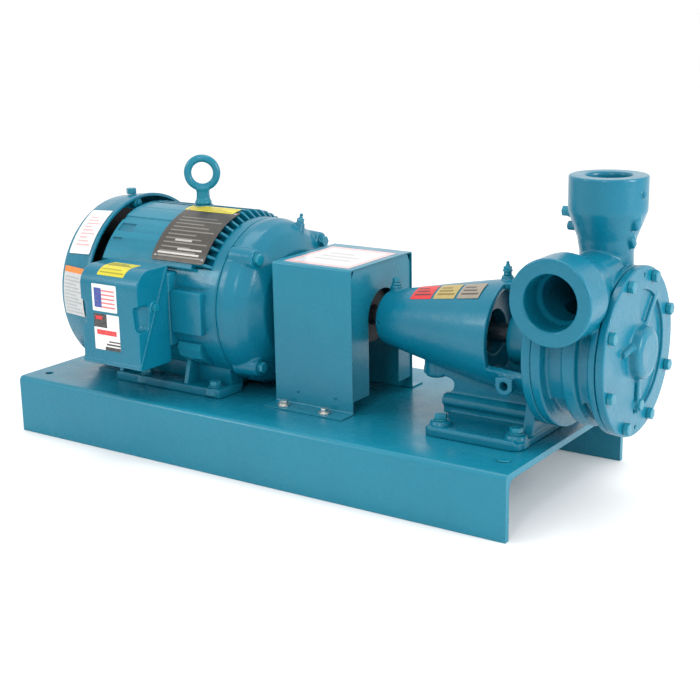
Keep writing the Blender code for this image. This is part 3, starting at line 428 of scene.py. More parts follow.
# A darker copy of the teal enamel: painted shade for parts that sit in shadow, such as the fan end shield.
SHADOW = enamel("painted_shade_enamel", 0.3, (0.001, 0.075, 0.115, 1.0), 0.42)
STEEL = metal("machined_steel", (0.30, 0.31, 0.33, 1.0), 0.34)
ZINC = metal("zinc_plate", (0.80, 0.79, 0.74, 1.0), 0.22, 180.0)
LAMINATION = metal("lamination_steel", (0.30, 0.31, 0.33, 1.0), 0.45)
COPPER = metal("copper_winding", (0.62, 0.27, 0.12, 1.0), 0.38)
BRONZE = metal("bronze", (0.60, 0.41, 0.18, 1.0), 0.34)
RUBBER = matt("elastomer", (0.035, 0.035, 0.038, 1.0), 0.72)
PLASTIC = matt("fan_plastic", (0.028, 0.028, 0.030, 1.0), 0.5)
GASKET = matt("gasket_fibre", (0.32, 0.29, 0.24, 1.0), 0.85)
# Near-black colour for the coupling hubs: painted shade for the dark inside of the coupling guard.
SHADED_IRON = matt("painted_shade_iron", (0.012, 0.016, 0.019, 1.0), 0.6)
CARBON = matt("seal_carbon", (0.05, 0.05, 0.055, 1.0), 0.38)

for names, look in ((("motor_shaft", "pump_shaft", "motor_bearing_drive", "motor_bearing_fan",
        "bracket_bearing_inner", "bracket_bearing_outer", "seal_head"), STEEL),
        (("stator_core", "rotor_core"), LAMINATION), (("stator_winding",), COPPER), (("impeller",), BRONZE),
        (("cooling_fan",), PLASTIC), (("cover_gasket",), GASKET), (("seal_seat",), CARBON),
        (("fan_end_shield",), SHADOW)):
    for node in names:
        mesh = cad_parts[node].data
        mesh.materials.clear()
        mesh.materials.append(look)


def casting(name, node, *shape, look=CAST, **how):
    """A carved casting that stands for one CAD node."""
    return wear(carve(name, *shape, **how), look, stands_for=[node])


def fitting(name, bm, node=None, at_shaft=True):
    """A small painted fastener or fitting."""
    return wear(put(name, bm, at_shaft), FITTING, stands_for=[node] if node else ())


# ------------------------------------------------------------------ baseplate
half, bend, sheet = 189.0, 8.0, 9.5
outside = [(half, 0.0, 1.2), (half, BASE_TOP, bend), (-half, BASE_TOP, bend), (-half, 0.0, 1.2)]
inside = [(-half + sheet, 0.0, 1.2), (-half + sheet, BASE_TOP - sheet, 13.0),
        (half - sheet, BASE_TOP - sheet, 13.0), (half - sheet, 0.0, 1.2)]
cuts = [('-', standing(bar(70.0, 110.0, 7.0, 40), x, y)) for x, y in ANCHORS]
wear(carve("baseplate_sheet", prism(soft(outside + inside, True, 8), 0.0, 894.0), cuts), SHEET,
        stands_for=["baseplate"])
plug = upright(turned([(84.0, 0.0), (84.0, 6.8), (93.2, 6.8), (93.2, 9.5, 0.8), (95.4, 9.5, 1.6),
        (95.8, 0.0)]))
fitting("base_hole_plug", moved(plug, 864.0, -138.0), at_shaft=False)

# ------------------------------------------------------------------ motor frame
fins = []
for step in range(56):
    angle = step * 360.0 / 56
    if 149.0 < angle < 236.0 or angle < 31.0 or angle > 304.0:
        continue
    start = 318.0 if 90.0 < angle < 151.0 else 140.0
    outline = soft([(start, 118.0), (start, 139.0, 2.0), (340.0, 139.0, 4.0), (355.0, 127.0, 3.0),
            (358.0, 118.0)])
    fins.append(spun(prism(outline, -2.0, 2.0, 'Y'), angle - 90.0))
flat_bands = []
for low, high, radius in ((92.0, 104.0, 138.4), (104.0, 117.0, 138.9), (117.0, 120.5, 137.2),
        (120.5, 152.0, 138.9)):
    flat_bands += arc(radius, low + 0.4, high - 0.4, 6) + arc(137.6, high - 0.1, high + 0.1, 1)
bands = prism(flat_bands + arc(118.0, 152.0, 92.0, 10), 140.0, 322.0)
barrel = turned([(135.0, 0.0), (135.0, 122.0, 2.0), (139.0, 125.0, 2.0), (346.0, 125.0, 6.0),
        (354.0, 129.0, 5.0), (372.0, 129.0, 1.5), (372.0, 0.0)], 128)
foot_z = BASE_TOP + 0.3 - AXIS
smooth_side = arc(129.5, 150.0, 236.0, 30) + arc(110.0, 236.0, 150.0, 12)
far_side = arc(129.5, -56.0, 31.0, 30) + arc(110.0, 31.0, -56.0, 12)
steps = [('+', together(*fins)), ('+', bands), ('+', prism(smooth_side, 141.0, 370.0)),
        ('+', prism(far_side, 141.0, 370.0)), ('+', block(172.0, 290.0, -139.4, -90.0, -56.0, 58.0, 4.0)),
        ('+', block(290.0, 349.0, -137.3, -90.0, -33.0, 33.0, 2.5)), ('+', block(172.0, 340.0, 90.0, 137.3,
        -34.0, 34.0, 4.0)), ('-', block(296.0, 348.0, -141.0, -124.0, 36.0, 47.0)),
        ('-', spun(block(146.0, 176.0, -143.0, -136.6, -8.0, 8.0, 1.0), -52.5)),
        ('-', spun(block(146.0, 164.0, -143.0, -137.0, -2.0, 2.0, 0.8), -43.0)),
        ('+', standing(turned([(110.0, 0.0), (110.0, 20.0), (136.0, 17.0, 4.0), (141.6, 15.5, 1.5),
        (141.6, 0.0)], 48), 249.0))]
for side in (-1.0, 1.0):
    sole = prism([(153.0, side * 70.0), (153.0, side * 121.0), (366.0, side * 121.0), (370.0, side * 70.0)],
            foot_z, foot_z + 14.0, 'Z')
    steps.append(('+', eased(sole, 2.0, 3)))
    web = [(side * 60.0, foot_z + 2.0), (side * 117.0, foot_z + 6.0), (side * 118.0, foot_z + 16.0),
            (side * 108.0, -84.0), (side * 90.0, -76.0), (side * 60.0, -76.0)]
    for x in (158.0, 294.0):
        steps.append(('+', prism(web, x, x + 7.0)))
    shelf = [(side * 60.0, -96.0), (side * 97.0, -90.0), (side * 121.0, -74.0), (side * 127.0, -60.0),
            (side * 124.0, -50.0), (side * 90.0, -40.0)]
    steps.append(('+', prism(shelf, 292.0, 336.0)))
    flank = [(side * 60.0, foot_z + 4.0), (side * 84.0, foot_z + 4.0), (side * 88.0, foot_z + 16.0),
            (side * 90.0, -70.0), (side * 60.0, -70.0)]
    steps.append(('+', prism(flank, 160.0, 364.0)))
    for x in MOTOR_FEET:
        pad = standing(turned([(foot_z + 4.0, 0.0), (foot_z + 4.0, 17.0), (foot_z + 14.6, 15.0, 1.0),
                (foot_z + 14.6, 0.0)]), x, side * MOTOR_FEET_Y)
        steps.append(('+', pad))
steps += [('-', block(130.0, 380.0, -69.0, 69.0, -160.0, -129.0)), ('-', bar(120.0, 380.0, 104.5, 96))]
casting("motor_frame_casting", "motor_frame", barrel, steps, True, sharp=26.0)

# ------------------------------------------------------------------ drive end shield
bell = turned([(372.4, 0.0), (372.4, 129.0, 1.0), (386.0, 129.0, 10.0), (402.0, 124.0, 16.0),
        (417.0, 110.0, 18.0), (430.0, 84.0, 8.0), (430.5, 54.0, 3.0), (436.0, 50.0, 3.0),
        (436.0, 20.0, 1.0), (426.0, 18.2), (426.0, 0.0)], 128)
steps = []
for corner in range(4):
    lobe = turned([(376.0, 0.0), (376.0, 17.0), (400.0, 15.5, 4.0), (419.0, 14.0, 2.0), (419.0, 0.0)])
    steps.append(('+', circled(lobe, SHIELD_BOLT_R, 45.0 + 90.0 * corner)))
zerk_boss = turned([(100.0, 0.0), (100.0, 10.0), (126.2, 7.5, 2.0), (126.2, 0.0)], 32)
steps.append(('+', spun(standing(zerk_boss, 409.0), -19.0)))
steps += [('-', block(370.0, 440.0, -130.0, 130.0, -170.0, -129.0)), ('-', bar(365.0, 440.0, 18.4, 48))]
casting("drive_end_bell", "drive_end_shield", bell, steps, True, voxel=1.5, blur=7, keep=0.45)
for corner in range(4):
    head = spun(bolt(419.2, 7.6, 6.0, 9.5), 13.0 * corner)
    fitting(f"shield_bolt_{corner + 1}", circled(head, SHIELD_BOLT_R, 45.0 + 90.0 * corner))


def grease_fitting(seat):
    """A zerk about X: a hex body, a waist and a ball nipple."""
    return together(hexagon(seat, seat + 6.0, 5.0, 0.8), turned([(seat + 5.0, 0.0), (seat + 5.0, 3.4),
            (seat + 8.0, 3.0, 0.6), (seat + 9.4, 2.0, 0.5), (seat + 10.8, 3.1, 0.8),
            (seat + 13.2, 2.2, 0.8), (seat + 13.8, 0.0)], 28))


zerk = spun(standing(grease_fitting(126.5), 409.0), -19.0)
fitting("motor_zerk", zerk, "motor_grease_fitting")

# ------------------------------------------------------------------ fan cover
shell = lathe(soft([(52.0, 0.0), (52.0, 124.0, 16.0), (62.0, 141.5, 12.0), (100.0, 147.4, 60.0),
        (119.0, 148.6, 2.0), (121.5, 150.0, 1.0), (127.6, 150.0, 1.2), (127.6, 145.2, 0.8),
        (118.0, 144.6, 30.0), (66.0, 137.5, 12.0), (56.5, 120.0, 8.0), (56.5, 0.0)], steps=6), 160)
steps = [('-', block(40.0, 140.0, -160.0, 160.0, -170.0, -129.0))]
steps.append(('+', block(64.0, 127.6, -72.0, 72.0, -129.0, -125.5)))
slots = []
for k in range(24):
    slot = soft([(34.0, -3.0, 2.9), (84.0, -4.2, 4.1), (84.0, 4.2, 4.1), (34.0, 3.0, 2.9)], True, 4)
    slots.append(spun(prism([(y, z) for z, y in slot], 45.0, 62.0), k * 15.0))
steps.append(('-', together(*slots)))
casting("fan_cover_shell", "fan_cover", shell, steps, True)
# A flat dark disc just inside the slotted end face: a painted-shade sheet that keeps the slots dark.
wear(put("fan_cover_shade_disc", ring(57.2, 58.4, 24.0, 120.0, 96, 0.2), True), PLASTIC)
lugs = []
for a in (98.0, 218.0, 338.0):
    foot = turned([(112.0, 0.0), (112.0, 8.5, 1.0), (127.0, 8.5, 1.2), (127.0, 0.0)], 32)
    head = turned([(127.0, 0.0), (127.0, 5.0, 0.8), (130.4, 4.2, 1.2), (130.8, 0.0)], 28)
    lugs += [circled(foot, 138.0, a), circled(head, 138.0, a)]
wear(put("fan_cover_lugs", together(*lugs), True), CAST)
fitting("fan_cover_top_plug", standing(bolt(147.8, 7.2, 9.6, 0.0), 96.0, -2.0), "fan_cover_plug")

# ------------------------------------------------------------------ lifting eyebolt
neck = upright(turned([(350.0, 0.0), (350.0, 6.6), (368.4, 6.6), (368.4, 13.5, 1.2), (373.0, 13.2, 2.0),
        (377.0, 10.8, 4.0), (388.0, 10.2, 8.0), (396.0, 12.5, 2.0), (398.0, 0.0)], 48))
eye = carve("eyebolt_forging", moved(torus(23.0, 6.1), 0.0, 0.0, 418.0), [('+', neck)], voxel=0.9, blur=6,
        keep=0.6)
eye.data.transform(Matrix.Translation(-SHIFT * MM))
eye.data.transform(Matrix.Rotation(math.radians(34.0), 4, 'Z'))
eye.data.transform(Matrix.Translation((Vector((249.0, 0.0, 0.0)) + SHIFT) * MM))
wear(eye, FITTING, stands_for=["lifting_eyebolt"])

# ------------------------------------------------------------------ conduit box
X0, X1, FRONT, BACK, LOW, HIGH = 174.0, 290.0, -209.0, -139.6, 147.0, 298.0
split_low, split_high = Vector((-209.0, 149.0)), Vector((-141.0, 296.0))
split = (split_high - split_low).normalized()
outwards = Vector((-split.y, split.x))


def box_solid(grow=0.0):
    """The conduit box's whole outer shape, rounded at its front."""
    side = soft([(BACK, LOW - grow), (BACK, HIGH + grow, 2.0), (FRONT - grow, HIGH + grow, 30.0),
            (FRONT - grow, LOW - grow, 9.0)], True, 10)
    bm = prism(side, X0 - grow, X1 + grow)
    rim = [e for e in bm.edges if abs(e.verts[0].co.x - e.verts[1].co.x) < 0.01
            and not (e.verts[0].co.y > BACK - 0.1 and e.verts[1].co.y > BACK - 0.1)]
    bmesh.ops.bevel(bm, geom=rim, offset=17.0, segments=8, affect='EDGES', profile=0.5, clamp_overlap=True)
    return bm


def beyond(offset, way):
    """A large prism on one side of the diagonal split."""
    a = split_low - split * 90.0 + outwards * offset
    b = split_high + split * 90.0 + outwards * offset
    far = outwards * 300.0 * way
    return prism([tuple(a), tuple(b), tuple(b + far), tuple(a + far)], 130.0, 340.0)


pockets = []
for x in (X1 + 3.0, X0 - 3.0):
    scoop = upright(turned([(206.0, 0.0), (206.0, 13.0, 8.0), (246.0, 17.0, 10.0), (246.0, 0.0)]))
    pockets.append(('-', moved(scoop, x, -199.0)))
cover = carve("conduit_cover_casting", box_solid(), [('-', beyond(-0.4, -1.0))] + pockets, voxel=1.1,
        blur=6, keep=0.5)
wear(cover, CAST, stands_for=["conduit_cover"])
hub_hole = standing(bar(120.0, 165.0, 16.5, 48), 232.0, -172.0)
box_back = carve("conduit_box_casting", box_solid(), [('-', beyond(0.4, 1.0)), ('-', hub_hole)], voxel=1.1,
        blur=5, keep=0.5)
wear(box_back, CAST, stands_for=["conduit_box"])
lip = carve("conduit_lip", box_solid(1.5), [('-', beyond(-2.6, -1.0)), ('-', beyond(2.6, 1.0))], voxel=0.9,
        blur=3, keep=0.5)
wear(lip, CAST)
screws = []
spot = split_low.lerp(split_high, 0.60) + outwards * 5.0
for x, facing in ((X1, 0.0), (X0, 180.0)):
    lug = turned([(-6.0, 0.0), (-6.0, 12.0), (1.0, 9.5, 3.0), (1.0, 0.0)], 36)
    screw = spun(together(lug, bolt(1.1, 5.6, 4.6)), facing, 'Z')
    screws.append(moved(screw, x, spot.x, spot.y))
fitting("conduit_screws", together(*screws), at_shaft=False)

# ------------------------------------------------------------------ coupling guard
z0, top = BASE_TOP + 0.3, 309.5
wall = [(-113.0, z0), (-81.0, z0, 1.0), (-81.0, top - 2.0, 2.0), (81.0, top - 2.0, 2.0), (81.0, z0, 1.0),
        (113.0, z0), (113.0, z0 + 2.0), (83.0, z0 + 2.0, 3.0), (83.0, top, 3.5), (-83.0, top, 3.5),
        (-83.0, z0 + 2.0, 3.0), (-113.0, z0 + 2.0)]
holes = [('-', standing(bar(80.0, 110.0, 3.6, 24), x, y)) for x in (472.0, 547.0) for y in (-98.0, 98.0)]
wear(carve("guard_sheet", prism(soft(wall, True, 5), 447.0, 587.0), holes), SHEET,
        stands_for=["coupling_guard"])


def end_panel(name, x, low_y, high_y):
    """The guard's end sheet, with clipped top corners and an arched opening."""
    outline = [(-80.6, 112.0), (-80.6, 292.0), (-72.0, 306.8), (72.0, 306.8), (80.6, 292.0), (80.6, 112.0)]
    mid, reach = (low_y + high_y) / 2, (high_y - low_y) / 2
    arch = [(low_y, 60.0)] + [(mid - reach * math.cos(math.radians(a)), AXIS
            + reach * math.sin(math.radians(a))) for a in range(0, 181, 5)] + [(high_y, 60.0)]
    panel = carve(name, prism(outline, x, x + 2.0), [('-', prism(arch, x - 5.0, x + 7.0))])
    return wear(panel, SHEET)


end_panel("guard_end_pump", 583.0, -36.0, 46.0)
end_panel("guard_end_motor", 449.0, -40.0, 40.0)
number = 1
for x, y in ((472.0, -98.0), (547.0, -98.0), (472.0, 98.0), (547.0, 98.0)):
    seat = z0 + 2.3
    screw = together(turned([(seat, 0.0), (seat, 10.0, 0.5), (seat + 1.2, 9.6, 0.5), (seat + 1.2, 0.0)]),
            turned([(seat + 1.2, 0.0), (seat + 1.2, 7.6, 0.4), (seat + 2.2, 7.6, 0.4), (seat + 2.2, 0.0)]),
            hexagon(seat + 2.0, seat + 7.4, 5.6, 1.4), bar(seat - 14.0, seat, 3.0, 16))
    wear(put(f"guard_zinc_screw_{number}", moved(spun(upright(screw), 20.0 * number, 'Z'), x, y)), ZINC,
            stands_for=[f"guard_screw_{number}"])
    number += 1
rivets = [moved(crosswise(lathe([(0.0, 0.0), (-0.1, 3.0), (-0.8, 2.4), (-1.2, 1.2), (-1.3, 0.0)], 24)), x,
        -83.0, 116.0) for x in (488.0, 556.0)]
wear(put("guard_rivets", together(*rivets)), SHEET)

# ------------------------------------------------------------------ jaw coupling
def hub(name, x0, x1, jaw_to, first, body, node):
    shape = ring(x0, x1, 14.6, 42.0, 80, 1.4)
    face = x1 if jaw_to > x1 else x0
    jaws = []
    for k in range(3):
        middle = first + 120.0 * k
        outline = arc(41.4, middle - 17, middle + 17, 8) + arc(23.0, middle + 17, middle - 17, 6)
        jaws.append(prism(outline, min(face - 1.0, jaw_to), max(face + 1.0, jaw_to) if jaw_to > face
                else face + 1.0))
    made = carve(name, shape, [('+', together(*jaws))], True)
    # The hubs get the near-black painted-shade colour.
    return wear(made, SHADED_IRON, body, [node])


hub("coupling_half_motor", 470.0, 510.2, 529.0, 30.0, "motor_rotor", "coupling_hub_motor")
hub("coupling_half_pump", 529.8, 570.0, 511.0, 90.0, "pump_rotor", "coupling_hub_pump")
spider = ring(511.0, 529.0, 12.0, 22.0, 48)
legs = [prism(arc(40.0, 60.0 * k - 11.5, 60.0 * k + 11.5, 6) + arc(20.0, 60.0 * k + 11.5, 60.0 * k - 11.5,
        4), 511.0, 529.0) for k in range(6)]
wear(carve("coupling_insert", spider, [('+', together(*legs))], True), RUBBER, "motor_rotor",
        ["coupling_spider"])

# ------------------------------------------------------------------ bearing bracket
cone = lathe(soft([(597.0, 16.0), (597.0, 36.0, 3.0), (601.0, 39.8, 3.0), (650.0, 50.5), (700.0, 60.5),
        (761.0, 72.0), (800.0, 78.5), (862.0, 86.0, 6.0), (873.5, 96.0, 8.0), (873.5, 115.0, 2.0),
        (887.0, 115.0, 1.0), (887.0, 78.0), (776.0, 66.0), (776.0, 32.0), (605.0, 27.0), (605.0, 16.0)],
        True, 4), 128, True)
foot_low, foot_top = BASE_TOP + 0.3 - AXIS, BASE_TOP + 13.3 - AXIS
plate = prism(soft([(716.0, -104.0, 16.0), (868.0, -104.0, 16.0), (868.0, 104.0, 16.0),
        (716.0, 104.0, 16.0)], True, 6), foot_low, foot_top - 3.0, 'Z')
steps = [('+', plate)]
web = soft([(668.0, -44.0), (664.0, -74.0, 4.0), (692.0, -77.0, 3.0), (698.0, -73.0, 3.0),
        (716.0, -77.0, 8.0), (716.0, -90.0, 12.0), (701.0, -104.0, 4.0), (705.0, -113.0),
        (705.0, foot_low + 3.0), (860.0, foot_low + 3.0), (860.0, -60.0), (760.0, -50.0)], True, 5)
steps.append(('+', prism(web, -13.0, 13.0, 'Y')))
for side in (-1.0, 1.0):
    bead = soft([(side * 8.0, -96.0), (side * 17.0, -97.0, 4.0), (side * 24.0, -103.0, 5.0),
            (side * 25.0, -110.0, 4.0), (side * 19.0, -116.0, 3.0), (side * 19.0, foot_top - 6.0),
            (side * 8.0, foot_top - 6.0)], True, 4)
    steps.append(('+', prism(bead, 702.0, 858.0)))
    rail = soft([(side * 88.0, foot_low + 4.0), (side * 103.6, foot_low + 4.0),
            (side * 103.0, foot_top + 0.5, 3.0), (side * 90.0, foot_top, 4.0)], True, 4)
    steps.append(('+', prism(rail, 724.0, 860.0)))
stub = standing(turned([(-79.0, 0.0), (-79.0, 16.0, 5.0), (-50.0, 16.0), (-50.0, 0.0)]), 680.0, 0.0)
steps.append(('+', stub))
steps.append(('+', prism([(-60.0, foot_top - 3.0), (60.0, foot_top - 3.0), (44.0, -62.0), (-44.0, -62.0)],
        850.0, 866.0)))
for x in BRACKET_FEET:
    for y in (-BRACKET_FEET_Y, BRACKET_FEET_Y):
        steps.append(('+', standing(turned([(foot_low, 0.0), (foot_low, 18.5), (foot_top + 5.0, 14.5, 2.0),
                (foot_top + 5.0, 0.0)]), x, y)))
for side in (-1.0, 1.0):
    low, high = (104.5, 206.0) if side < 0 else (-26.0, 75.5)
    wedge = [(0.0, 0.0)] + arc(170.0, low, high, 12)
    steps.append(('-', prism(wedge, 800.0, 868.0)))
    tab = crosswise(bar(62.0, 81.0, 13.0, 48))
    hole = crosswise(bar(50.0, 95.0, 6.0, 32))
    if side < 0:
        spun(tab, 180.0, 'Z')
        spun(hole, 180.0, 'Z')
    steps.append(('+', moved(tab, 831.5, 0.0, 174.5 - AXIS)))
    ear = block(818.6, 844.4, min(side * 62.0, side * 81.0), max(side * 62.0, side * 81.0), 174.5 - AXIS,
            186.0 - AXIS)
    steps.append(('+', ear))
    steps.append(('-', moved(hole, 831.5, 0.0, 174.5 - AXIS)))
steps.append(('+', standing(turned([(30.0, 0.0), (30.0, 12.0), (49.6, 9.0, 2.0), (49.6, 0.0)], 32), 612.0)))
steps.append(('+', standing(turned([(66.0, 0.0), (66.0, 11.0), (83.6, 8.0, 2.0), (83.6, 0.0)], 32), 794.0)))
steps.append(('-', moved(crosswise(bar(-60.0, -30.0, 1.8, 16)), 604.0)))
for x in BRACKET_FEET:
    for y in (-BRACKET_FEET_Y, BRACKET_FEET_Y):
        steps.append(('-', standing(bar(-170.0, -90.0, 5.6, 24), x, y)))
casting("bracket_casting", "bearing_bracket", cone, steps, True, voxel=1.25, blur=7, keep=0.5)
oil = together(hexagon(50.0, 54.0, 6.4, 0.6), hexagon(54.5, 60.2, 5.2, 0.9), bar(53.0, 55.0, 4.4, 24))
fitting("oil_plug", standing(oil, 612.0), "bracket_oil_plug")
nipple = together(turned([(83.8, 0.0), (83.8, 6.0, 0.6), (89.0, 5.4, 0.6), (89.0, 0.0)], 32),
        turned([(89.0, 0.0), (89.0, 7.2, 0.6), (91.0, 7.2, 0.6), (91.0, 0.0)], 32),
        hexagon(91.0, 96.0, 5.2, 0.8), turned([(96.0, 0.0), (96.0, 3.4), (98.6, 2.8, 0.6),
        (100.0, 1.8, 0.4), (101.0, 2.7, 0.6), (103.0, 1.6, 0.6), (103.4, 0.0)], 28))
fitting("bracket_zerk", standing(nipple, 794.0), "bracket_grease_fitting")

# ------------------------------------------------------------------ bolts through the base
number = {"motor": 1, "bracket": 1}
for kind, xs, y0, seat in (("motor", MOTOR_FEET, MOTOR_FEET_Y, BASE_TOP + 15.2),
        ("bracket", BRACKET_FEET, BRACKET_FEET_Y, BASE_TOP + 18.6)):
    for x in xs:
        for y in (-y0, y0):
            nut = hexagon(-(BASE_TOP - 9.8), -(BASE_TOP - 18.8), 8.0, 0.8)
            shape = together(upright(bolt(seat, 8.0, 7.4, 11.0, 4.8, seat - 70.0)),
                    upright(spun(nut, 180.0, 'Z')))
            name = f"{kind}_foot_bolt_{number[kind]}"
            fitting(name + "_set", moved(spun(shape, 17.0 * number[kind], 'Z'), x, y), name, at_shaft=False)
            number[kind] += 1

# ------------------------------------------------------------------ pump casing
body = lathe(soft([(887.3, 0.0), (887.3, 115.0, 1.5), (901.0, 115.0, 2.0), (902.0, 99.0, 2.0),
        (926.0, 99.0, 3.0), (928.0, 107.0, 3.0), (946.0, 107.0, 3.0), (948.0, 99.0, 3.0),
        (963.0, 99.0, 5.0), (968.0, 114.0, 3.0), (977.0, 114.0, 1.0), (977.0, 0.0)], steps=4), 128)
suction = crosswise(turned([(-149.0, 0.0), (-149.0, 57.0, 2.0), (-100.0, 57.0, 14.0), (-52.0, 43.0, 10.0),
        (0.0, 43.0), (0.0, 0.0)], 96))
discharge = upright(turned([(250.0, 0.0), (250.0, 40.0), (330.0, 37.0, 10.0), (352.0, 36.0, 14.0),
        (372.0, 39.5, 20.0), (408.0, 52.7, 16.0), (455.0, 52.7, 1.6), (455.0, 0.0)], 96))
lift = -AXIS
steps = [('+', moved(suction, PORT_X, 0.0, SUCTION_Z + lift)), ('+', moved(discharge, PORT_X, DISCHARGE_Y,
        lift)), ('+', moved(crosswise(bar(-60.0, 20.0, 46.0, 64)), PORT_X, 0.0, 300.0 + lift)),
        ('+', moved(spun(block(-9.0, 8.0, -8.0, 8.0, -9.0, 8.0, 4.0), 22.0), 974.0, 8.0, 396.0 + lift)),
        ('+', moved(spun(block(-9.0, 6.0, -6.0, 6.0, -12.0, 7.0, 4.0), 34.0), 968.0, 12.0, 372.0 + lift)),
        ('+', moved(block(-8.0, 4.0, -5.0, 5.0, -4.0, 5.0, 3.0), 983.0, 14.0, 432.0 + lift)),
        ('+', moved(bar(-8.0, 4.0, 6.5, 32), 886.0 - 2.0, 16.0, 384.0 + lift))]
for x0, x1 in ((903.0, 925.0), (949.0, 962.0)):
    steps.append(('-', prism(arc(120.0, 214.0, 326.0, 40) + arc(91.5, 326.0, 214.0, 40), x0, x1)))
steps += [('-', bar(977.0, 1010.0, 119.0, 90)), ('-', lathe([(880.0, 0.0), (880.0, 25.6), (908.0, 25.6),
        (908.0, 88.0), (985.0, 88.0), (985.0, 0.0)], 90)), ('-', moved(crosswise(turned([(-155.0, 0.0),
        (-155.0, 38.5), (-149.0, 38.2, 0.6), (-146.0, 36.5, 0.6), (-112.0, 36.0, 1.0), (-106.0, 31.0, 2.0),
        (-18.0, 30.0), (-18.0, 0.0)], 80)), PORT_X, 0.0, SUCTION_Z + lift)),
        ('-', block(913.0, 947.0, -52.0, -22.0, 268.0 + lift, SUCTION_Z + lift)),
        ('-', moved(upright(turned([(461.0, 0.0), (461.0, 32.0), (455.0, 31.8, 0.6), (452.0, 30.3, 0.6),
        (422.0, 29.8, 1.0), (416.0, 26.0, 2.0), (288.0, 26.0), (288.0, 0.0)], 80)), PORT_X, DISCHARGE_Y,
        lift))]
casting("casing_casting", "pump_casing", body, steps, True, look=ROUGH_CAST, voxel=1.35, blur=6, keep=0.5)
side_plug = together(turned([(0.0, 0.0), (0.0, 8.5), (5.0, 7.0, 1.0), (5.0, 0.0)], 32),
        spun(hexagon(4.5, 12.0, 6.6, 0.9), 12.0))
fitting("discharge_side_plug", moved(spun(side_plug, 180.0, 'Z'), 877.8, DISCHARGE_Y, 402.0),
        "discharge_plug", at_shaft=False)

# ------------------------------------------------------------------ casing cover
front = lathe(soft([(978.4, 0.0), (978.4, 115.0, 1.6), (990.0, 115.0, 2.0), (990.0, 0.0)], steps=5), 128)
pocket = prism(soft(arc(83.4, -98.0, 86.0, 40) + [(-4.0, 64.0, 8.0), (4.0, 40.0), (0.0, 0.0), (-8.0, -40.0),
        (-10.0, -62.0)], True), 985.0, 995.0)
boss = lathe(soft([(984.0, 0.0), (984.0, 44.0), (987.0, 42.0, 3.0), (991.0, 37.0, 5.0), (1003.0, 34.5, 6.0),
        (1006.0, 26.0, 6.0), (1005.6, 0.0)], steps=5), 96)
rib = spun(block(984.0, 990.4, 30.0, 92.0, -5.0, 5.0, 1.5), 50.0)
pin = moved(spun(crosswise(turned([(-62.0, 0.0), (-62.0, 4.6, 2.5), (-30.0, 5.4), (-30.0, 0.0)], 28)), 8.0),
        993.0, 0.0, 18.0)
stem = block(984.0, 994.0, -5.5, 5.5, -84.0, -30.0, 2.0)
plug_seat = moved(bar(984.0, 989.0, 10.5, 40), 0.0, 2.0, -73.0)
steps = [('-', pocket), ('+', boss), ('+', rib), ('+', pin), ('+', plug_seat), ('+', stem)]
for a in (84.0, 268.0):
    steps.append(('-', circled(bar(984.0, 996.0, 2.6, 24), COVER_BOLT_R, a)))
casting("cover_casting", "casing_cover", front, steps, True, look=ROUGH_CAST, voxel=1.0, blur=5, keep=0.5)
for k in range(8):
    head = spun(bolt(990.2, 7.3, 7.4), 11.0 + 23.0 * k)
    fitting(f"cover_screw_{k + 1}", circled(head, COVER_BOLT_R, 22.5 + 45.0 * k), f"cover_bolt_{k + 1}")
fitting("cover_drain_plug", moved(spun(bolt(989.0, 7.3, 7.6), 8.0), 0.0, 2.0, -73.0), "cover_plug")

# ------------------------------------------------------------------ seal parts seen through the windows
gland = lathe(soft([(862.3, 33.0), (814.0, 33.0, 1.0), (814.0, 41.5, 2.0), (822.0, 42.0),
        (858.0, 42.0, 5.0), (864.0, 56.0, 4.0), (876.0, 60.0, 2.0), (886.9, 60.0, 0.8), (886.9, 44.0),
        (868.0, 44.0), (868.0, 17.0), (862.3, 17.0)], True, 4), 96, True)
wear(put("gland_ring", gland, True), CAST, stands_for=["seal_gland"])
slinger = lathe(soft([(846.0, 14.3), (846.0, 18.0, 1.0), (847.4, 30.0, 0.8), (850.0, 30.0, 0.8),
        (850.0, 14.3)], True, 3), 64, True)
wear(put("slinger_disc", slinger, True), RUBBER, "pump_rotor", ["water_slinger"])


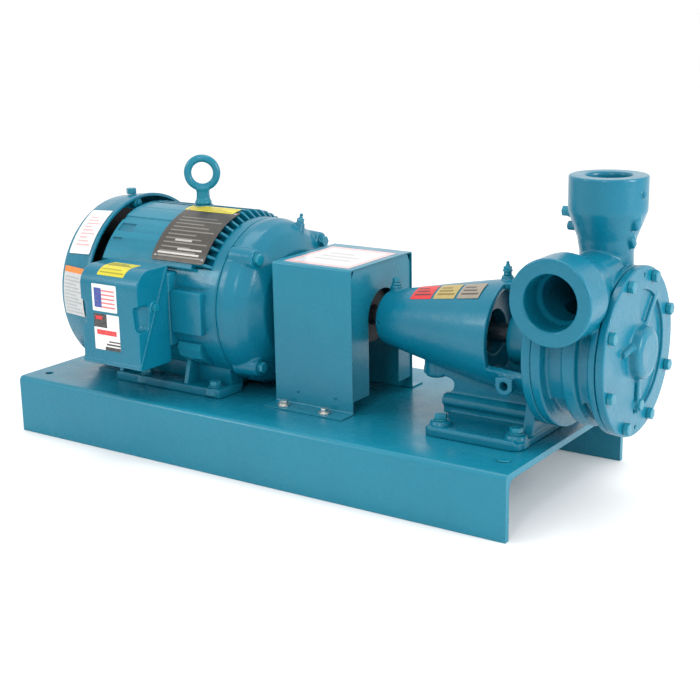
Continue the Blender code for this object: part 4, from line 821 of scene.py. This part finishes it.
# ------------------------------------------------------------------ plates and stickers
def sticker(name, width, height, place, look, corner=2.5, thick=0.25, rows=26, columns=8):
    """A thin plate laid by place(s, t, lift) in millimetres, with UVs across its face."""
    bm = bmesh.new()
    uv = bm.loops.layers.uv.new("UVMap")
    levels = sorted({round(height * i / rows, 4) for i in range(rows + 1)} | {round(corner * k, 4)
            for k in (0.1, 0.3, 0.6, 1.0)} | {round(height - corner * k, 4) for k in (0.1, 0.3, 0.6, 1.0)})
    marks, grid = {}, []
    for lift in (0.0, thick):
        sheet = []
        for t in levels:
            d = min(t, height - t)
            inset = corner - math.sqrt(max(corner ** 2 - (corner - d) ** 2, 0.0)) if d < corner else 0.0
            line = []
            for j in range(columns + 1):
                s = inset + (width - 2 * inset) * j / columns
                vert = bm.verts.new(place(s, t, lift))
                marks[vert] = (s / width, t / height)
                line.append(vert)
            sheet.append(line)
        grid.append(sheet)
    under, over = grid
    for i in range(len(levels) - 1):
        for j in range(columns):
            bm.faces.new((over[i][j], over[i][j + 1], over[i + 1][j + 1], over[i + 1][j]))
            bm.faces.new((under[i][j], under[i + 1][j], under[i + 1][j + 1], under[i][j + 1]))
        bm.faces.new((under[i][0], over[i][0], over[i + 1][0], under[i + 1][0]))
        bm.faces.new((under[i][-1], under[i + 1][-1], over[i + 1][-1], over[i][-1]))
    for j in range(columns):
        bm.faces.new((under[0][j], under[0][j + 1], over[0][j + 1], over[0][j]))
        bm.faces.new((under[-1][j], over[-1][j], over[-1][j + 1], under[-1][j + 1]))
    for face in bm.faces:
        for loop in face.loops:
            loop[uv].uv = marks[loop.vert]
    return wear(put(name, bm, sharp=40.0), look)


def on_round(x, radius, start):
    """Lay a sticker round the shaft line: s runs along X, t upwards over the -Y side from an angle."""
    def place(s, t, lift):
        r = radius(x + s) if callable(radius) else radius
        a = math.radians(start) + t / r
        return x + s, -(r + lift) * math.cos(a), AXIS + (r + lift) * math.sin(a)
    return place


WHITE, GREY, BLACK = (0.80, 0.80, 0.78, 1.0), (0.52, 0.54, 0.54, 1.0), (0.015, 0.015, 0.017, 1.0)
RED, BLUE, YELLOW = (0.62, 0.02, 0.025, 1.0), (0.02, 0.05, 0.28, 1.0), (0.66, 0.56, 0.02, 1.0)
PINK, ORANGE = (0.72, 0.42, 0.42, 1.0), (0.80, 0.20, 0.02, 1.0)


def rows_of(low, high, count, colour, u0=0.1, u1=0.9, share=0.42):
    """Plain bars, like rows of very small print."""
    pitch = (high - low) / count
    return [(u0, u1 - 0.14 * ((k * 7) % 3), low + pitch * k, low + pitch * (k + share), colour)
            for k in range(count)]


plate_look = printed("plate_print", (0.105, 0.098, 0.090, 1.0), rows_of(0.06, 0.80, 11,
        (0.26, 0.25, 0.23, 1.0), 0.10, 0.92, 0.30) + [(0.30, 0.62, 0.30, 0.33, (0.55, 0.54, 0.5, 1.0)),
        (0.08, 0.86, 0.10, 0.125, (0.6, 0.59, 0.55, 1.0)), (0.42, 0.88, 0.17, 0.195,
        (0.58, 0.57, 0.53, 1.0))], 0.34, 0.85)
plate = sticker("nameplate_etched", 105.0, 117.5, on_round(240.0, 139.8, 31.5), plate_look, 5.0,
        0.9, 40, 10)
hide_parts("nameplate")
pins = []
for x in (246.0, 339.0):
    for a in (34.5, 76.5):
        rad = math.radians(a)
        pins.append(moved(spun(upright(lathe([(0.0, 0.0), (0.0, 2.6), (0.9, 2.2), (1.5, 1.2), (1.6, 0.0)],
                20)), 90.0 - a), x, -140.6 * math.cos(rad), AXIS + 140.6 * math.sin(rad)))
wear(put("nameplate_rivets", together(*pins)), STEEL)
sticker("plate_yellow_strip", 96.0, 24.0, on_round(238.0, 140.8, 76.5), printed("yellow_print", YELLOW,
        rows_of(0.12, 0.9, 4, (0.20, 0.16, 0.01, 1.0), 0.05, 0.97, 0.45)), corner=1.0)
rim_radius = lambda x: 142.0 + (x - 60.0) * 0.118
sticker("cover_white_label", 49.0, 86.0, on_round(72.5, lambda x: rim_radius(x) + 1.4, 28.0),
        printed("white_print", WHITE, rows_of(0.16, 0.86, 9, (0.66, 0.36, 0.38, 1.0), 0.20, 0.86, 0.5)),
        corner=2.0)
sticker("cover_grey_label", 47.0, 78.0, on_round(71.0, lambda x: rim_radius(x) + 1.4, -11.0),
        printed("grey_print", GREY, rows_of(0.05, 0.84, 11, (0.36, 0.37, 0.38, 1.0), 0.06, 0.94, 0.5)
        + [(0.0, 1.0, 0.88, 1.0, ORANGE)]), corner=2.0)


def on_front(x, z, y):
    return lambda s, t, lift: (x + s, y - lift, z + t)


stripes = [(0.08, 0.92, 0.14 + 0.15 * k, 0.20 + 0.15 * k, (0.70, 0.14, 0.16, 1.0)) for k in range(5)]
sticker("box_striped_sticker", 50.0, 42.0, on_front(199.0, 232.0, FRONT - 0.05),
        printed("striped_print", WHITE, stripes + [(0.08, 0.38, 0.14, 0.86, BLUE)]), corner=1.6)
slants = printed("block_print", WHITE, [(0.0, 0.52, 0.62, 1.0, BLACK), (0.08, 0.34, 0.84, 0.94, RED),
        (0.10, 0.88, 0.42, 0.56, RED), (0.40, 1.0, 0.0, 0.10, BLACK), (0.46, 1.0, 0.14, 0.19, BLACK),
        (0.56, 1.0, 0.23, 0.27, BLACK)])
sticker("box_block_sticker", 52.0, 56.0, on_front(199.5, 172.0, FRONT - 0.05), slants, corner=1.2)


def over_edge(x, start):
    """Fold a sticker over the conduit box's rounded top-front edge: t climbs the front, then the top."""
    def place(s, t, lift):
        r, cy, cz = 30.0, FRONT + 30.0, HIGH - 30.0
        t = start + t
        bend = r * math.pi / 2
        if t < 0:
            return x + s, FRONT - lift, cz + t
        if t < bend:
            a = t / r
            return x + s, cy - (r + lift) * math.cos(a), cz + (r + lift) * math.sin(a)
        return x + s, cy + (t - bend), HIGH + lift
    return place


sticker("box_yellow_sticker", 54.0, 44.0, over_edge(205.0, 20.0), printed("yellow_box_print",
        (0.58, 0.52, 0.02, 1.0), rows_of(0.1, 0.42, 2, (0.30, 0.26, 0.01, 1.0), 0.06, 0.94, 0.4)
        + rows_of(0.56, 0.92, 3, (0.10, 0.08, 0.01, 1.0), 0.05, 0.95, 0.55)), corner=1.0)
sticker("guard_top_label", 116.0, 128.0, lambda s, t, lift: (460.0 + s, -72.0 + t, top + 0.05 + lift),
        printed("guard_print", (0.66, 0.66, 0.66, 1.0), [(0.0, 1.0, 0.0, 0.09, PINK),
        (0.0, 1.0, 0.91, 1.0, PINK), (0.0, 0.07, 0.0, 1.0, PINK), (0.93, 1.0, 0.0, 1.0, PINK),
        (0.22, 0.78, 0.30, 0.38, (0.45, 0.44, 0.44, 1.0)), (0.22, 0.78, 0.46, 0.54,
        (0.45, 0.44, 0.44, 1.0)), (0.22, 0.60, 0.62, 0.70, (0.45, 0.44, 0.44, 1.0))], 0.22), corner=2.0)
cone_radius = lambda x: 50.6 + (x - 650.0) * 0.1975
for name, x, colour, ink, shine in (("red", 655.0, RED, (0.10, 0.01, 0.01, 1.0), 0.0),
        ("gold", 696.0, (0.48, 0.38, 0.14, 1.0), (0.22, 0.16, 0.05, 1.0), 0.55),
        ("silver", 737.0, (0.34, 0.30, 0.24, 1.0), (0.10, 0.09, 0.08, 1.0), 0.55)):
    sticker(f"bracket_{name}_tag", 37.0, 34.0, on_round(x, lambda v: cone_radius(v) + 0.15, 50.0),
            printed(f"{name}_print", colour, rows_of(0.2, 0.85, 3, ink, 0.12, 0.9, 0.5), 0.36, shine),
            corner=1.5)

# ------------------------------------------------------------------ floor, light and camera
floor = bpy.data.objects.new("floor", bpy.data.meshes.new("floor"))
bm = bmesh.new()
bmesh.ops.create_grid(bm, x_segments=2, y_segments=2, size=30.0)
bm.to_mesh(floor.data)
bm.free()
bpy.context.scene.collection.objects.link(floor)
paper = Graph("studio_floor")
tone = paper.blend(paper.span(paper.noise(1.5, 2.0), 0.3, 0.7), (0.905, 0.905, 0.905, 1.0),
        (0.915, 0.915, 0.915, 1.0))
floor.data.materials.append(paper.set(Base_Color=tone, Roughness=0.85))

world = bpy.data.worlds.new("studio")
bpy.context.scene.world = world
world.use_nodes = True
world.node_tree.nodes["Background"].inputs["Color"].default_value = (1.0, 1.0, 1.0, 1.0)
world.node_tree.nodes["Background"].inputs["Strength"].default_value = 1.1


def softbox(name, where, aim, size, power):
    light = bpy.data.lights.new(name, 'AREA')
    light.shape = 'RECTANGLE'
    light.size, light.size_y = size
    light.energy = power
    made = bpy.data.objects.new(name, light)
    made.location = where
    made.rotation_euler = (Vector(aim) - Vector(where)).to_track_quat('-Z', 'Y').to_euler()
    bpy.context.scene.collection.objects.link(made)


softbox("over", (-0.2, 0.3, 2.6), (0.0, 0.0, 0.2), (1.6, 1.2), 22.0)
softbox("left", (-2.0, -2.1, 1.7), (-0.1, 0.0, 0.25), (0.5, 0.9), 16.0)
softbox("right", (2.7, 0.1, 1.1), (0.2, 0.0, 0.25), (0.8, 1.2), 44.0)
softbox("front", (0.9, -2.6, 1.9), (0.2, 0.0, 0.25), (0.4, 0.6), 14.0)

camera = bpy.data.cameras.new("camera")
camera.sensor_width = 36.0
camera.lens = 69.72
shot = bpy.data.objects.new("camera", camera)
yaw, pitch, roll = math.radians(34.43), math.radians(15.14), math.radians(1.03)
forward = Vector((-math.sin(yaw) * math.cos(pitch), math.cos(yaw) * math.cos(pitch), -math.sin(pitch)))
right = Vector((math.cos(yaw), math.sin(yaw), 0.0))
down = forward.cross(right)
across = right * math.cos(roll) + down * math.sin(roll)
below = down * math.cos(roll) - right * math.sin(roll)
turn = Matrix((across, -below, -forward)).transposed()
shot.matrix_world = Matrix.Translation((1.1491, -1.6316, 0.7038)) @ turn.to_4x4()
bpy.context.scene.collection.objects.link(shot)
bpy.context.scene.camera = shot
bpy.context.scene.view_settings.view_transform = 'Standard'
